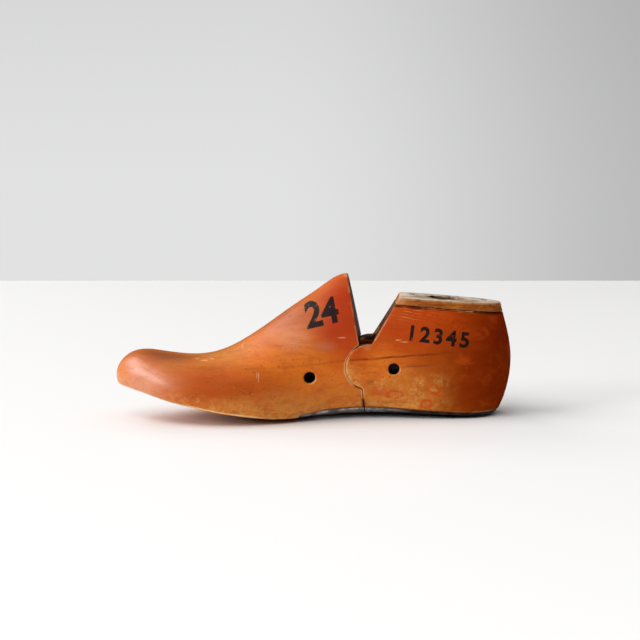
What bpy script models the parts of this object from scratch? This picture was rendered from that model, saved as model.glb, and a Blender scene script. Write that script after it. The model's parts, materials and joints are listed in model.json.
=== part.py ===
"""A hinged wooden shoe last for the right foot, straight and standing on its ball and heel.

The toe points along -X, the inner side of the foot faces -Y and +Z is up. The heel part ends in a
round nose that turns in a socket of the forepart, and a spring link between two pins holds them
together and snaps the heel part straight or broken. All sizes are in metres.
"""

import math

import bmesh
import bpy
import numpy as np
from mathutils import Matrix, Vector

# The three overall sizes of the wood
LAST_LENGTH = 0.2230
LAST_WIDTH = 0.0780
LAST_HEIGHT = 0.0810

# Fits: between pieces that touch, between nose and socket, and the overrun of every cut
GAP = 0.0003
NOSE_CLEARANCE = 0.00035
OVERRUN = 0.0300

# Places along the last are shares of its length from the toe, places across it are shares of its
# width from its middle line, and heights are shares of its height from the surface it stands on.

# The middle line swings from the square of the joint's axis, so that the toe points inward
SWING_ANGLE = math.radians(5.0)
SWING_PIVOT_SHARE = 0.2475

# Each row: place, height of the middle of the sole, then place and height of the inner feather edge,
# the inner bulge, the outer feather edge and the outer bulge
SECTION_SHARES = (
    (0.092, 0.177, -0.333, 0.210, -0.349, 0.266, 0.199, 0.212, 0.215, 0.266),
    (0.146, 0.134, -0.408, 0.169, -0.428, 0.235, 0.275, 0.172, 0.297, 0.235),
    (0.204, 0.095, -0.456, 0.136, -0.481, 0.212, 0.337, 0.138, 0.363, 0.218),
    (0.263, 0.054, -0.478, 0.102, -0.504, 0.200, 0.386, 0.104, 0.418, 0.200),
    (0.326, 0.022, -0.473, 0.074, -0.504, 0.206, 0.421, 0.076, 0.455, 0.187),
    (0.388, 0.004, -0.426, 0.046, -0.469, 0.231, 0.432, 0.054, 0.462, 0.194),
    (0.451, 0.000, -0.346, 0.034, -0.414, 0.274, 0.419, 0.044, 0.450, 0.207),
    (0.514, 0.004, -0.267, 0.052, -0.367, 0.316, 0.388, 0.056, 0.425, 0.227),
    (0.577, 0.010, -0.218, 0.063, -0.333, 0.335, 0.360, 0.064, 0.400, 0.251),
    (0.639, 0.014, -0.209, 0.066, -0.315, 0.335, 0.335, 0.066, 0.374, 0.271),
    (0.720, 0.014, -0.233, 0.054, -0.310, 0.330, 0.307, 0.055, 0.347, 0.289),
    (0.801, 0.008, -0.263, 0.038, -0.313, 0.325, 0.292, 0.040, 0.332, 0.308),
    (0.873, 0.000, -0.264, 0.028, -0.303, 0.330, 0.267, 0.030, 0.306, 0.330),
)

# Each row: place, height of the ridge, its place across, half its flat, and how full the wall is
# beside the bulge and beside the ridge
RIDGE_SHARES = (
    (0.092, 0.475, -0.071, 0.071, 0.60, 0.58),
    (0.146, 0.452, -0.074, 0.064, 0.56, 0.52),
    (0.204, 0.443, -0.077, 0.058, 0.50, 0.45),
    (0.263, 0.473, -0.071, 0.051, 0.46, 0.40),
    (0.326, 0.557, -0.059, 0.046, 0.42, 0.36),
    (0.388, 0.670, -0.044, 0.041, 0.40, 0.34),
    (0.451, 0.791, -0.026, 0.038, 0.38, 0.32),
    (0.514, 0.906, -0.005, 0.036, 0.38, 0.30),
    (0.550, 0.974, 0.008, 0.033, 0.38, 0.30),
    (0.577, 1.000, 0.015, 0.032, 0.38, 0.30),
    (0.613, 0.990, 0.021, 0.032, 0.38, 0.30),
)

# Each row: place, place across and half the width of the flat top of the heel part
CONE_SHARES = (
    (0.675, 0.028, 0.198),
    (0.720, 0.024, 0.204),
    (0.774, 0.020, 0.209),
    (0.823, 0.015, 0.206),
    (0.873, 0.008, 0.190),
)
CONE_BULGE_SHARE = 0.42
CONE_LEAN_SHARES = (0.25, 0.35)

# How the sole's crown rises to the feather edges, and how full the wall is from there to the bulge
CROWN_POWER = 2.6
EDGE_HANDLE_SHARES = (0.55, 0.25)
BULGE_HANDLE_SHARE = 0.35

# Toe and heel end in fans of columns round two upright lines, at the first and last section
TOE_TIP_SHARE = -0.083
TOE_EDGE_SHARES = (0.006, 0.258)
TOE_BULGE_SHARES = (0.000, 0.315)
TOE_TOP_SHARES = (0.061, 0.484)
TOE_CROWN_SHARES = (0.50, 0.50)
HEEL_EDGE_SHARES = (0.967, 0.025)
HEEL_BULGE_SHARES = (1.000, 0.384)
HEEL_TOP_SHARE = 0.972
HEEL_CROWN_SHARES = (0.37, 0.37, 0.30)
ROUND_HANDLE_SHARE = 0.5523

# The top of the cone is flat and slopes down to the back
CONE_TILT = math.radians(4.4)
CONE_BACK_HEIGHT_SHARE = 0.7892
CONE_BLEND_SHARES = (0.586, 0.684)

# Rows of points up one side of a section, and columns along it
SOLE_ROW_SHARES = (0.0, 0.30, 0.55, 0.78, 0.93, 1.0)
LOWER_ROW_SHARES = (0.25, 0.5, 0.75, 1.0)
UPPER_ROW_SHARES = (0.12, 0.25, 0.38, 0.51, 0.64, 0.76, 0.88, 1.0)
TOP_ROW_SHARES = (0.5, 1.0)
COLUMN_COUNT = 36
FAN_COUNT = 8

# The joint: a nose of one inch, cut by four lines that start at angles round its centre
NOSE_RADIUS = 0.0126
JOINT_PLACE_SHARE = 0.6372
JOINT_HEIGHT_SHARE = 0.3764
SOCKET_TOP_ANGLE = math.radians(113.3)
SOCKET_FOOT_ANGLE = math.radians(253.8)
HEEL_FACE_ANGLE = math.radians(82.0)
FORE_FACE_LEAN = math.radians(10.4)
HEEL_FACE_LEAN = math.radians(31.6)
STOP_LEAN = math.radians(4.2)
ARC_STEP = math.radians(4.0)
BREAK_ANGLE = math.radians(29.0)

# The two cross pins, each at its angle round the joint's centre, as far apart as the link is long
FRONT_PIN_ANGLE = math.radians(188.2)
REAR_PIN_REACH = 0.01415
REAR_PIN_ANGLE = math.radians(-4.9)
PIN_RADIUS = 0.0029
PIN_LENGTH = 0.0320
PIN_STEPS = 24

# The link: an eye rod on the front pin, a stirrup on the rear pin and a spring between them
ROD_RADIUS = 0.0020
EYE_RADIUS = 0.0062
EYE_WIDTH = 0.0090
ROD_REACH = 0.0405
ROD_END_CLEARANCE = 0.00324
ROD_TAIL_LENGTH = 0.0008
CROSSBAR_START = 0.0102
CROSSBAR_THICKNESS = 0.0026
ARM_THICKNESS = 0.0020
ARM_HEIGHT = 0.0100
STIRRUP_WIDTH = 0.0164
STIRRUP_EYE_RADIUS = 0.0056
SPRING_RADIUS = 0.0046
SPRING_WIRE = 0.0018
SPRING_TURNS = 8
SPRING_TURN_POINTS = 10
WASHER_THICKNESS = 0.0010
WASHER_RADIUS = 0.0053
NUT_THICKNESS = 0.0028
NUT_RADIUS = 0.0042
NUT_SIDES = 6
LINK_STEPS = 20

# The mortise in the forepart and the slot in the heel part, which the link swings in
SLOT_WIDTH = 0.0180
LINK_CLEARANCE = 0.0008
SWING_MARGIN = math.radians(1.5)
SLOT_BACK_ANGLE = math.radians(75.0)
SLOT_FACE_REACH = 0.0080

# The cap on top of the heel part, and its nails
CAP_BACK_THICKNESS = 0.0054
CAP_TAPER = math.radians(0.9)
NAIL_PLACE_SHARES = ((0.931, 0.050), (0.747, 0.110))
NAIL_RADIUS = 0.0008
NAIL_HEAD_RADIUS = 0.0016
NAIL_HEAD_THICKNESS = 0.0008
NAIL_LENGTH = 0.0200
NAIL_STEPS = 12

# The bore for the jack's spindle, wider in the cap, and its steel thimble
JACK_PLACE_SHARES = (0.8251, 0.012)
JACK_BORE = 0.0159
CAP_BORE = 0.0168
THIMBLE_BORE = 0.0135
THIMBLE_LENGTH = 0.0360
THIMBLE_STEPS = 32

# The steel plates under shank and heel, and their countersunk screws
PLATE_THICKNESS = 0.0010
PLATE_INSET = 0.0005
PLATE_JOINT_GAP = 0.0007
SHANK_START_SHARE = 0.4637
SLAB_STEP = 0.0030
SHANK_SCREW_SHARES = ((0.14, -0.45), (0.14, 0.45), (0.86, -0.30), (0.86, 0.45))
HEEL_SCREW_SHARES = ((0.08, -0.45), (0.08, 0.50), (0.44, -0.62), (0.44, 0.62), (0.78, -0.50), (0.78, 0.50))
SCREW_HEAD_RADIUS = 0.0034
SCREW_HEAD_HEIGHT = 0.0020
SCREW_RADIUS = 0.0016
SCREW_LENGTH = 0.0120
SCREW_POINT_LENGTH = 0.0030
SCREW_SLOT_WIDTH = 0.0009
SCREW_SLOT_DEPTH = 0.0008
SCREW_STEPS = 16

SHARP_ANGLE = math.radians(35.0)
WELD_DISTANCE = 0.000001
SLIVER_SIZE = 0.00002


# Places worked out from the sizes above
def place_x(share):
    """The X of a place along the last."""
    return (share - 0.5) * LAST_LENGTH


def swing(x):
    """How far the middle line has swung outward at X."""
    return (x - place_x(SWING_PIVOT_SHARE)) * math.tan(SWING_ANGLE)


def place_y(share, x):
    """The Y of a place across the last at X."""
    return share * LAST_WIDTH + swing(x)


def polar(centre, radius, angle):
    """The point of the side view at this radius and angle round a centre."""
    return (centre[0] + radius * math.cos(angle), centre[1] + radius * math.sin(angle))


def front_pin_reach():
    """How far from the joint's centre the front pin sits, so that the link just spans the pins."""
    spread = FRONT_PIN_ANGLE - REAR_PIN_ANGLE
    aside = REAR_PIN_REACH * math.sin(spread)
    return REAR_PIN_REACH * math.cos(spread) + math.sqrt(LINK_LENGTH**2 - aside**2)


JOINT = (place_x(JOINT_PLACE_SHARE), JOINT_HEIGHT_SHARE * LAST_HEIGHT)
LINK_LENGTH = ROD_REACH + ROD_END_CLEARANCE + PIN_RADIUS
NUT_START = ROD_REACH - ROD_TAIL_LENGTH - NUT_THICKNESS
WASHER_START = NUT_START - GAP - WASHER_THICKNESS
REAR_PIN = polar(JOINT, REAR_PIN_REACH, REAR_PIN_ANGLE)
FRONT_PIN_REACH = front_pin_reach()
FRONT_PIN = polar(JOINT, FRONT_PIN_REACH, FRONT_PIN_ANGLE)
SOCKET_RADIUS = NOSE_RADIUS + NOSE_CLEARANCE
PIN_HOLE_RADIUS = PIN_RADIUS + GAP
LINK_ANGLE = math.atan2(REAR_PIN[1] - FRONT_PIN[1], REAR_PIN[0] - FRONT_PIN[0])
BROKEN_PIN = polar(JOINT, REAR_PIN_REACH, REAR_PIN_ANGLE + BREAK_ANGLE)
ROD_SWING = math.atan2(BROKEN_PIN[1] - FRONT_PIN[1], BROKEN_PIN[0] - FRONT_PIN[0]) - LINK_ANGLE
CONE_BACK = place_x(HEEL_TOP_SHARE)
CONE_BACK_HEIGHT = CONE_BACK_HEIGHT_SHARE * LAST_HEIGHT
TOE_FAN = place_x(SECTION_SHARES[0][0])
HEEL_FAN = place_x(SECTION_SHARES[-1][0])
SOCKET_FOOT = polar(JOINT, SOCKET_RADIUS, SOCKET_FOOT_ANGLE)
SHANK_START = place_x(SHANK_START_SHARE)


def stop_x(height):
    """The X of the forepart's stop face under the socket."""
    return SOCKET_FOOT[0] + (SOCKET_FOOT[1] - height) * math.tan(STOP_LEAN)


def cone_height(x):
    """The height of the flat top of the heel part, with its cap."""
    return CONE_BACK_HEIGHT + (CONE_BACK - x) * math.tan(CONE_TILT)


def cap_foot_height(x):
    """The height of the cap's underside."""
    return CONE_BACK_HEIGHT - CAP_BACK_THICKNESS + (CONE_BACK - x) * math.tan(CONE_TILT + CAP_TAPER)


# The surface of the wood
def natural_spline(places, values):
    """A smooth curve through the values at these places, as a function of the place."""
    places = np.array(places)
    values = np.array(values)
    steps = np.diff(places)
    slopes = np.diff(values) / steps
    count = len(places)
    matrix = np.eye(count)
    change = np.zeros(count)
    for i in range(1, count - 1):
        matrix[i, i - 1 : i + 2] = (steps[i - 1], 2 * (steps[i - 1] + steps[i]), steps[i])
        change[i] = 6 * (slopes[i] - slopes[i - 1])
    bends = np.linalg.solve(matrix, change)

    def at(place):
        place = min(max(place, places[0]), places[-1])
        i = min(int(np.searchsorted(places, place, side="right")) - 1, count - 2)
        run = place - places[i]
        rise = slopes[i] - steps[i] * (2 * bends[i] + bends[i + 1]) / 6
        bend = bends[i] / 2
        turn = (bends[i + 1] - bends[i]) / (6 * steps[i])
        return float(values[i] + run * (rise + run * (bend + run * turn)))

    return at


def columns_of(shares, kinds):
    """One smooth curve along the last for each column of a table but the first, which is the place."""
    places = [place_x(row[0]) for row in shares]
    curves = []
    for column, (size, turn) in enumerate(kinds, start=1):
        values = [row[column] * size + turn * swing(place_x(row[0])) for row in shares]
        curves.append(natural_spline(places, values))
    return curves


# What the shares of a column are shares of, and whether it swings with the middle line
UP = (LAST_HEIGHT, 0)
ACROSS = (LAST_WIDTH, 1)
WIDE = (LAST_WIDTH, 0)
FULL = (1, 0)
SOLE, *EDGES = columns_of(SECTION_SHARES, (UP,) + 4 * (ACROSS, UP))
RIDGE = columns_of(RIDGE_SHARES, (UP, ACROSS, WIDE, FULL, FULL))
CONE = columns_of(CONE_SHARES, (ACROSS, WIDE))
LINK_MIDDLE = (EDGES[2](JOINT[0]) + EDGES[6](JOINT[0])) / 2


def blend(x, shares):
    """A smooth weight from 0 to 1 between two places along the last."""
    start, end = (place_x(share) for share in shares)
    weight = min(max((x - start) / (end - start), 0), 1)
    return weight * weight * (3 - 2 * weight)


def mix(first, second, weight):
    """A value between two others."""
    return first + (second - first) * weight


def bezier(points, share):
    """The point of a cubic curve at this share of the way."""
    first, second, third, last = (np.array(point) for point in points)
    rest = 1 - share
    return rest**3 * first + 3 * rest**2 * share * second + 3 * rest * share**2 * third + share**3 * last


def sole_middle(x):
    """Where the middle of the sole lies across the last."""
    return (EDGES[0](x) + EDGES[4](x)) / 2


def sole_height(x, side, share):
    """The height of the sole at a share of the way from its middle to one feather edge."""
    edge = EDGES[1](x) if side < 0 else EDGES[5](x)
    return mix(SOLE(x), edge, share**CROWN_POWER)


def sole_height_at(x, y):
    """The height of the sole at a point of the plan."""
    side = -1 if y < sole_middle(x) else 1
    edge = EDGES[0](x) if side < 0 else EDGES[4](x)
    return sole_height(x, side, min((y - sole_middle(x)) / (edge - sole_middle(x)), 1))


def wall(edge, bulge, top, fullness):
    """The points of a wall in its own plane, as pairs of distance and height, above the feather edge."""
    bulge_share, lean_share, drop_share = fullness
    out = bulge[0] - edge[0]
    up = bulge[1] - edge[1]
    low_handles = (
        (edge[0] + EDGE_HANDLE_SHARES[0] * out, edge[1] + EDGE_HANDLE_SHARES[1] * up),
        (bulge[0], bulge[1] - BULGE_HANDLE_SHARE * up),
    )
    inward = bulge[0] - top[0]
    rise = top[1] - bulge[1]
    high_handles = (
        (bulge[0], bulge[1] + bulge_share * rise),
        (top[0] + lean_share * inward, top[1] - drop_share * rise),
    )
    points = [bezier((edge, *low_handles, bulge), share) for share in LOWER_ROW_SHARES]
    points += [bezier((bulge, *high_handles, top), share) for share in UPPER_ROW_SHARES]
    return points


def section_side(x, side):
    """The column of points up one side of the section at X, from the sole's middle to the ridge."""
    first = 0 if side < 0 else 4
    edge_y, edge_z, bulge_y, bulge_z = (EDGES[first + i](x) for i in range(4))
    middle = sole_middle(x)
    cone = blend(x, CONE_BLEND_SHARES)
    ridge_z, ridge_y, ridge_half, bulge_share, lean_share = (curve(x) for curve in RIDGE)
    top_z = mix(ridge_z, cone_height(x), cone)
    top_y = mix(ridge_y, CONE[0](x), cone)
    top_half = mix(ridge_half, CONE[1](x), cone)
    fullness = (
        mix(bulge_share, CONE_BULGE_SHARE, cone),
        mix(lean_share, CONE_LEAN_SHARES[0], cone),
        mix(0, CONE_LEAN_SHARES[1], cone),
    )
    corner = (top_y + side * top_half, top_z)
    points = [(x, mix(middle, edge_y, share), sole_height(x, side, share)) for share in SOLE_ROW_SHARES]
    points += [(x, y, z) for y, z in wall((edge_y, edge_z), (bulge_y, bulge_z), corner, fullness)]
    points += [(x, mix(corner[0], top_y, share), top_z) for share in TOP_ROW_SHARES]
    return np.array(points)


def leveled(start, slope, end, share):
    """A height that leaves its start at a slope and reaches the end's height, on a curve."""
    run = (end[0] - start[0]) * share
    bend = end[1] - start[1] - slope * (end[0] - start[0])
    return start[1] + slope * run + bend * share * share


def end_column(start_x, ahead, edge, bulge, top, fullness, tip_share, flat_top):
    """The column of points over the tip of the toe or down the back of the heel."""
    step = ahead * LAST_LENGTH / COLUMN_COUNT**2
    start = (start_x, SOLE(start_x))
    slope = (SOLE(start_x) - SOLE(start_x - step)) / step
    points = []
    for share in SOLE_ROW_SHARES:
        x = mix(start_x, edge[0], share)
        y = mix(sole_middle(start_x), place_y(tip_share, x), share)
        points.append((x, y, leveled(start, slope, edge, share)))
    for x, z in wall(edge, bulge, top, fullness):
        points.append((x, place_y(tip_share, x), z))
    middle = CONE[0](start_x) if flat_top else RIDGE[1](start_x)
    ridge = (start_x, RIDGE[0](start_x))
    slope = (RIDGE[0](start_x) - RIDGE[0](start_x - step)) / step
    for share in TOP_ROW_SHARES:
        x = mix(top[0], start_x, share)
        y = mix(place_y(tip_share, x), middle, share)
        z = cone_height(x) if flat_top else leveled(ridge, slope, top, 1 - share)
        points.append((x, y, z))
    return np.array(points)


def side_point(shares):
    """A point of the side view from its place and height."""
    return place_x(shares[0]), shares[1] * LAST_HEIGHT


def toe_column():
    """The column of points over the tip of the toe."""
    outline = [side_point(shares) for shares in (TOE_EDGE_SHARES, TOE_BULGE_SHARES, TOE_TOP_SHARES)]
    return end_column(TOE_FAN, -1, *outline, (*TOE_CROWN_SHARES, 0), TOE_TIP_SHARE, False)


def heel_column():
    """The column of points down the back of the heel."""
    outline = [side_point(shares) for shares in (HEEL_EDGE_SHARES, HEEL_BULGE_SHARES)]
    top = (CONE_BACK, CONE_BACK_HEIGHT)
    return end_column(HEEL_FAN, 1, *outline, top, HEEL_CROWN_SHARES, 0, True)


def fan(start_x, side, end, ahead):
    """The columns that turn from the section at start_x to the end column, both left out."""
    step = LAST_LENGTH / COLUMN_COUNT**2
    start = section_side(start_x, side)
    slope = (section_side(start_x - ahead * step, side) - start) / step
    reach = ROUND_HANDLE_SHARE * np.abs(end[:, :1] - start[:, :1])
    start_handle = start - slope * reach
    end_handle = end.copy()
    end_handle[:, 1] += ROUND_HANDLE_SHARE * (start[:, 1] - end[:, 1])
    columns = []
    for i in range(1, FAN_COUNT):
        column = bezier((start, start_handle, end_handle, end), i / FAN_COUNT)
        if ahead > 0:
            for j in range(len(column) - len(TOP_ROW_SHARES) - 1, len(column)):
                column[j, 2] = cone_height(column[j, 0])
        columns.append(column)
    return columns


def last_surface():
    """The vertices and faces of the whole last, as one closed surface."""
    toe = toe_column()
    heel = heel_column()
    stations = np.linspace(TOE_FAN, HEEL_FAN, COLUMN_COUNT + 1)
    vertices = []
    faces = []
    for side in (-1, 1):
        columns = [toe]
        columns += reversed(fan(TOE_FAN, side, toe, -1))
        columns += [section_side(x, side) for x in stations]
        columns += fan(HEEL_FAN, side, heel, 1)
        columns += [heel]
        rows = len(toe)
        first = len(vertices)
        vertices += [tuple(point) for column in columns for point in column]
        for i in range(len(columns) - 1):
            for j in range(rows - 1):
                corner = first + i * rows + j
                faces.append((corner, corner + 1, corner + rows + 1, corner + rows))
    return vertices, faces


# Making and cutting objects
def clear_scene():
    """Removes everything that the scene holds."""
    for thing in list(bpy.data.objects):
        bpy.data.objects.remove(thing, do_unlink=True)


def add_mesh(name, vertices, faces):
    """A mesh object with its points welded and its faces pointing out."""
    shape = bpy.data.meshes.new(name)
    shape.from_pydata([tuple(point) for point in vertices], [], faces)
    soft = bmesh.new()
    soft.from_mesh(shape)
    bmesh.ops.remove_doubles(soft, verts=soft.verts, dist=WELD_DISTANCE)
    bmesh.ops.recalc_face_normals(soft, faces=soft.faces)
    soft.to_mesh(shape)
    soft.free()
    thing = bpy.data.objects.new(name, shape)
    bpy.context.scene.collection.objects.link(thing)
    return thing


def prism(name, outline, start, end):
    """A side-view outline of X and Z, drawn across from one Y to another."""
    count = len(outline)
    vertices = [(x, start, z) for x, z in outline] + [(x, end, z) for x, z in outline]
    faces = [tuple(range(count)), tuple(range(count, 2 * count))]
    for i in range(count):
        after = (i + 1) % count
        faces.append((i, after, after + count, i + count))
    return add_mesh(name, vertices, faces)


def turned(name, profile, steps, closed=False):
    """A profile of radius and height turned round Z: open from pole to pole, or closed as a ring."""
    vertices = []
    for radius, height in profile:
        for i in range(steps):
            angle = 2 * math.pi * i / steps
            vertices.append((radius * math.cos(angle), radius * math.sin(angle), height))
    faces = []
    rows = len(profile)
    for j in range(rows if closed else rows - 1):
        below = j * steps
        above = (j + 1) % rows * steps
        for i in range(steps):
            after = (i + 1) % steps
            faces.append((below + i, below + after, above + after, above + i))
    return add_mesh(name, vertices, faces)


def rod_profile(radius, start, end):
    """The profile of a plain cylinder."""
    return ((0, start), (radius, start), (radius, end), (0, end))


def cross_rod(name, centre, radius, width, steps):
    """A cylinder along Y round a point of the side view, with its middle in the link's plane."""
    thing = turned(name, rod_profile(radius, -width / 2, width / 2), steps)
    thing.rotation_euler = (math.pi / 2, 0, 0)
    thing.location = (centre[0], LINK_MIDDLE, centre[1])
    return thing


def arc(centre, radius, start, end, step=ARC_STEP):
    """Points of the side view round an arc."""
    count = max(2, math.ceil(abs(end - start) / step))
    return [polar(centre, radius, mix(start, end, i / count)) for i in range(count + 1)]


def apply_modifiers(thing):
    """Gives the object the mesh that its modifiers make, without the slivers that cuts leave."""
    bpy.context.view_layer.update()
    graph = bpy.context.evaluated_depsgraph_get()
    shape = bpy.data.meshes.new_from_object(thing.evaluated_get(graph))
    soft = bmesh.new()
    soft.from_mesh(shape)
    bmesh.ops.triangulate(soft, faces=soft.faces)
    bmesh.ops.remove_doubles(soft, verts=soft.verts, dist=SLIVER_SIZE)
    bmesh.ops.dissolve_degenerate(soft, edges=soft.edges, dist=SLIVER_SIZE)
    bmesh.ops.recalc_face_normals(soft, faces=soft.faces)
    soft.to_mesh(shape)
    soft.free()
    thing.modifiers.clear()
    thing.data = shape


def combine(thing, others, operation):
    """Cuts other objects from this one, or joins them to it, and removes them."""
    for other in others:
        other.hide_render = True
        other.display_type = "WIRE"
        modifier = thing.modifiers.new(other.name, "BOOLEAN")
        modifier.operation = operation
        modifier.solver = "EXACT"
        modifier.object = other
    apply_modifiers(thing)
    for other in others:
        bpy.data.objects.remove(other, do_unlink=True)


def finish(thing, name, colour, roughness, metallic, axis):
    """Names the piece, gives it its material and smooth faces, and hangs it on its joint's axis."""
    material = bpy.data.materials.new(name)
    material.use_nodes = True
    shader = material.node_tree.nodes["Principled BSDF"]
    shader.inputs["Base Color"].default_value = (*colour, 1)
    shader.inputs["Roughness"].default_value = roughness
    shader.inputs["Metallic"].default_value = metallic
    thing.name = name
    thing.data.name = name
    thing.data.materials.clear()
    thing.data.materials.append(material)
    if thing.type == "MESH":
        thing.data.shade_smooth()
        thing.data.set_sharp_from_angle(angle=SHARP_ANGLE)
    if axis is not None:
        bpy.context.view_layer.update()
        thing.parent = axis
        thing.matrix_parent_inverse = axis.matrix_world.inverted()
    return thing


def axis_empty(name, centre, parent=None):
    """An empty on a joint's axis, which carries the pieces that turn round it."""
    thing = bpy.data.objects.new(name, None)
    bpy.context.scene.collection.objects.link(thing)
    thing.location = (centre[0], LINK_MIDDLE, centre[1])
    bpy.context.view_layer.update()
    if parent is not None:
        thing.parent = parent
        thing.matrix_parent_inverse = parent.matrix_world.inverted()
        bpy.context.view_layer.update()
    return thing


# Materials: colour, roughness and metallic value
WOOD_LOOK = ((0.33, 0.13, 0.05), 0.35, 0.0)
CAP_LOOK = ((0.30, 0.17, 0.07), 0.65, 0.0)
STEEL_LOOK = ((0.30, 0.29, 0.28), 0.40, 1.0)
DARK_STEEL_LOOK = ((0.10, 0.09, 0.08), 0.50, 1.0)


# Cutters for the wood
def heel_zone():
    """What lies behind the forepart's faces: the V, the socket and all of the heel part."""
    top = polar(JOINT, SOCKET_RADIUS, SOCKET_TOP_ANGLE)
    height = LAST_HEIGHT + OVERRUN
    outline = [(top[0] - (height - top[1]) * math.tan(FORE_FACE_LEAN), height)]
    outline += arc(JOINT, SOCKET_RADIUS, SOCKET_TOP_ANGLE, SOCKET_FOOT_ANGLE)
    outline += [(stop_x(-OVERRUN), -OVERRUN), (LAST_LENGTH, -OVERRUN), (LAST_LENGTH, height)]
    return prism("heel_zone", outline, -LAST_WIDTH, LAST_WIDTH)


def forepart_zone():
    """What lies in front of the heel part's faces: the V and all of the forepart."""
    face = polar(JOINT, NOSE_RADIUS, HEEL_FACE_ANGLE)
    height = LAST_HEIGHT + OVERRUN
    outline = [(face[0] + (height - face[1]) * math.tan(HEEL_FACE_LEAN), height)]
    outline += arc(JOINT, NOSE_RADIUS, HEEL_FACE_ANGLE, SOCKET_FOOT_ANGLE)
    outline += [(stop_x(outline[-1][1]) + GAP, outline[-1][1])]
    outline += [(stop_x(-OVERRUN) + GAP, -OVERRUN), (-LAST_LENGTH, -OVERRUN), (-LAST_LENGTH, height)]
    return prism("forepart_zone", outline, -LAST_WIDTH, LAST_WIDTH)


def over_and_under(name, offset, far_height):
    """All that lies between the cap's foot, moved up by an offset, and a far height."""
    ends = (-LAST_LENGTH, LAST_LENGTH)
    outline = [(x, cap_foot_height(x) + offset) for x in ends]
    outline += [(x, far_height) for x in reversed(ends)]
    return prism(name, outline, -LAST_WIDTH, LAST_WIDTH)


def plate_stations(start, end):
    """Places along a plate."""
    return list(np.linspace(start, end, math.ceil((end - start) / SLAB_STEP) + 1))


def plate_column(column, over):
    """A column of the sole drawn in to the plate's edge, with one more point past it by an overrun."""
    sole = np.array(column[: len(SOLE_ROW_SHARES)])
    middle = sole[0, :2].copy()
    reach = sole[-1, :2] - middle
    length = np.linalg.norm(reach)
    sole[:, :2] = middle + (sole[:, :2] - middle) * (1 - PLATE_INSET / length)
    if over:
        sole = np.vstack((sole, sole[-1:]))
        sole[-1, :2] += reach * over / length
    return sole


def sole_slab(name, stations, round_heel, over, low, high):
    """A slab that follows the sole between two heights over it, to the last station or round the heel."""
    heel = heel_column()
    vertices = []
    faces = []
    for side in (-1, 1):
        columns = [section_side(x, side) for x in stations]
        if round_heel:
            columns += fan(HEEL_FAN, side, heel, 1) + [heel]
        columns = [plate_column(column, over) for column in columns]
        rows = len(columns[0])
        first = len(vertices)
        count = len(columns) * rows
        for height in (low, high):
            vertices += [(x, y, z + height) for column in columns for x, y, z in column]
        for i in range(len(columns) - 1):
            for j in range(rows - 1):
                corner = first + i * rows + j
                for low_corner in (corner, corner + count):
                    faces.append((low_corner, low_corner + 1, low_corner + rows + 1))
                    faces.append((low_corner, low_corner + rows + 1, low_corner + rows))
        rim = [first + j for j in range(rows)]
        rim += [first + i * rows + rows - 1 for i in range(1, len(columns))]
        if not round_heel:
            rim += [first + count - 1 - j for j in range(1, rows)]
        for here, after in zip(rim, rim[1:]):
            faces.append((here, after, after + count, here + count))
    return add_mesh(name, vertices, faces)


def link_sides(width):
    """The two Y values of something this wide round the link's plane."""
    return LINK_MIDDLE - width / 2, LINK_MIDDLE + width / 2


def forepart_mortise():
    """The room in which the link swings inside the forepart."""
    radius = EYE_RADIUS + LINK_CLEARANCE
    high = LINK_ANGLE + ROD_SWING + SWING_MARGIN
    start = high + math.pi / 2
    end = LINK_ANGLE + 3 * math.pi / 2
    outline = arc(FRONT_PIN, radius, start, end)
    outline += [polar(outline[-1], LINK_LENGTH, LINK_ANGLE)]
    outline += [polar(outline[0], LINK_LENGTH, high)]
    return prism("forepart_mortise", outline, *link_sides(SLOT_WIDTH))


def heel_slot():
    """The slot in the nose of the heel part, open to the front and to the bottom of the V."""
    radius = STIRRUP_EYE_RADIUS + LINK_CLEARANCE
    face = polar(JOINT, NOSE_RADIUS, HEEL_FACE_ANGLE)
    lip = polar(face, SLOT_FACE_REACH, math.pi / 2 - HEEL_FACE_LEAN)
    outline = arc(REAR_PIN, radius, LINK_ANGLE - math.pi / 2, SLOT_BACK_ANGLE)
    outline += [lip, (lip[0] - OVERRUN, lip[1] + OVERRUN), (JOINT[0] - OVERRUN, lip[1] + OVERRUN)]
    outline += [polar(outline[0], LINK_LENGTH + OVERRUN, LINK_ANGLE + math.pi)]
    return prism("heel_slot", outline, *link_sides(SLOT_WIDTH))


def pin_hole(centre):
    """A hole for a cross pin right through the wood."""
    return cross_rod("pin_hole", centre, PIN_HOLE_RADIUS, 2 * LAST_WIDTH, PIN_STEPS)


# Screws, nails and the jack bore, each with the hole that it sits in
def screw_profile(clearance):
    """A countersunk screw with its head down, larger all round by a clearance."""
    head = SCREW_HEAD_RADIUS + clearance
    body = SCREW_RADIUS + clearance
    neck = SCREW_HEAD_HEIGHT + clearance
    tip = SCREW_LENGTH + clearance
    profile = [(0, -OVERRUN), (head, -OVERRUN)] if clearance else [(0, 0)]
    profile += [(head, clearance), (body, neck), (body, tip - SCREW_POINT_LENGTH), (0, tip)]
    return profile


def place_on_sole(thing, x, y):
    """Stands a turned piece on the sole, square to it."""
    step = PLATE_INSET
    along = (sole_height_at(x + step, y) - sole_height_at(x - step, y)) / (2 * step)
    across = (sole_height_at(x, y + step) - sole_height_at(x, y - step)) / (2 * step)
    turn = Vector((-along, -across, 1)).to_track_quat("Z", "Y").to_matrix().to_4x4()
    thing.matrix_world = Matrix.Translation((x, y, sole_height_at(x, y))) @ turn
    return thing


def screw_hole(x, y):
    """The countersunk hole of one screw, through plate and wood."""
    return place_on_sole(turned("screw_hole", screw_profile(GAP), SCREW_STEPS), x, y)


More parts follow.
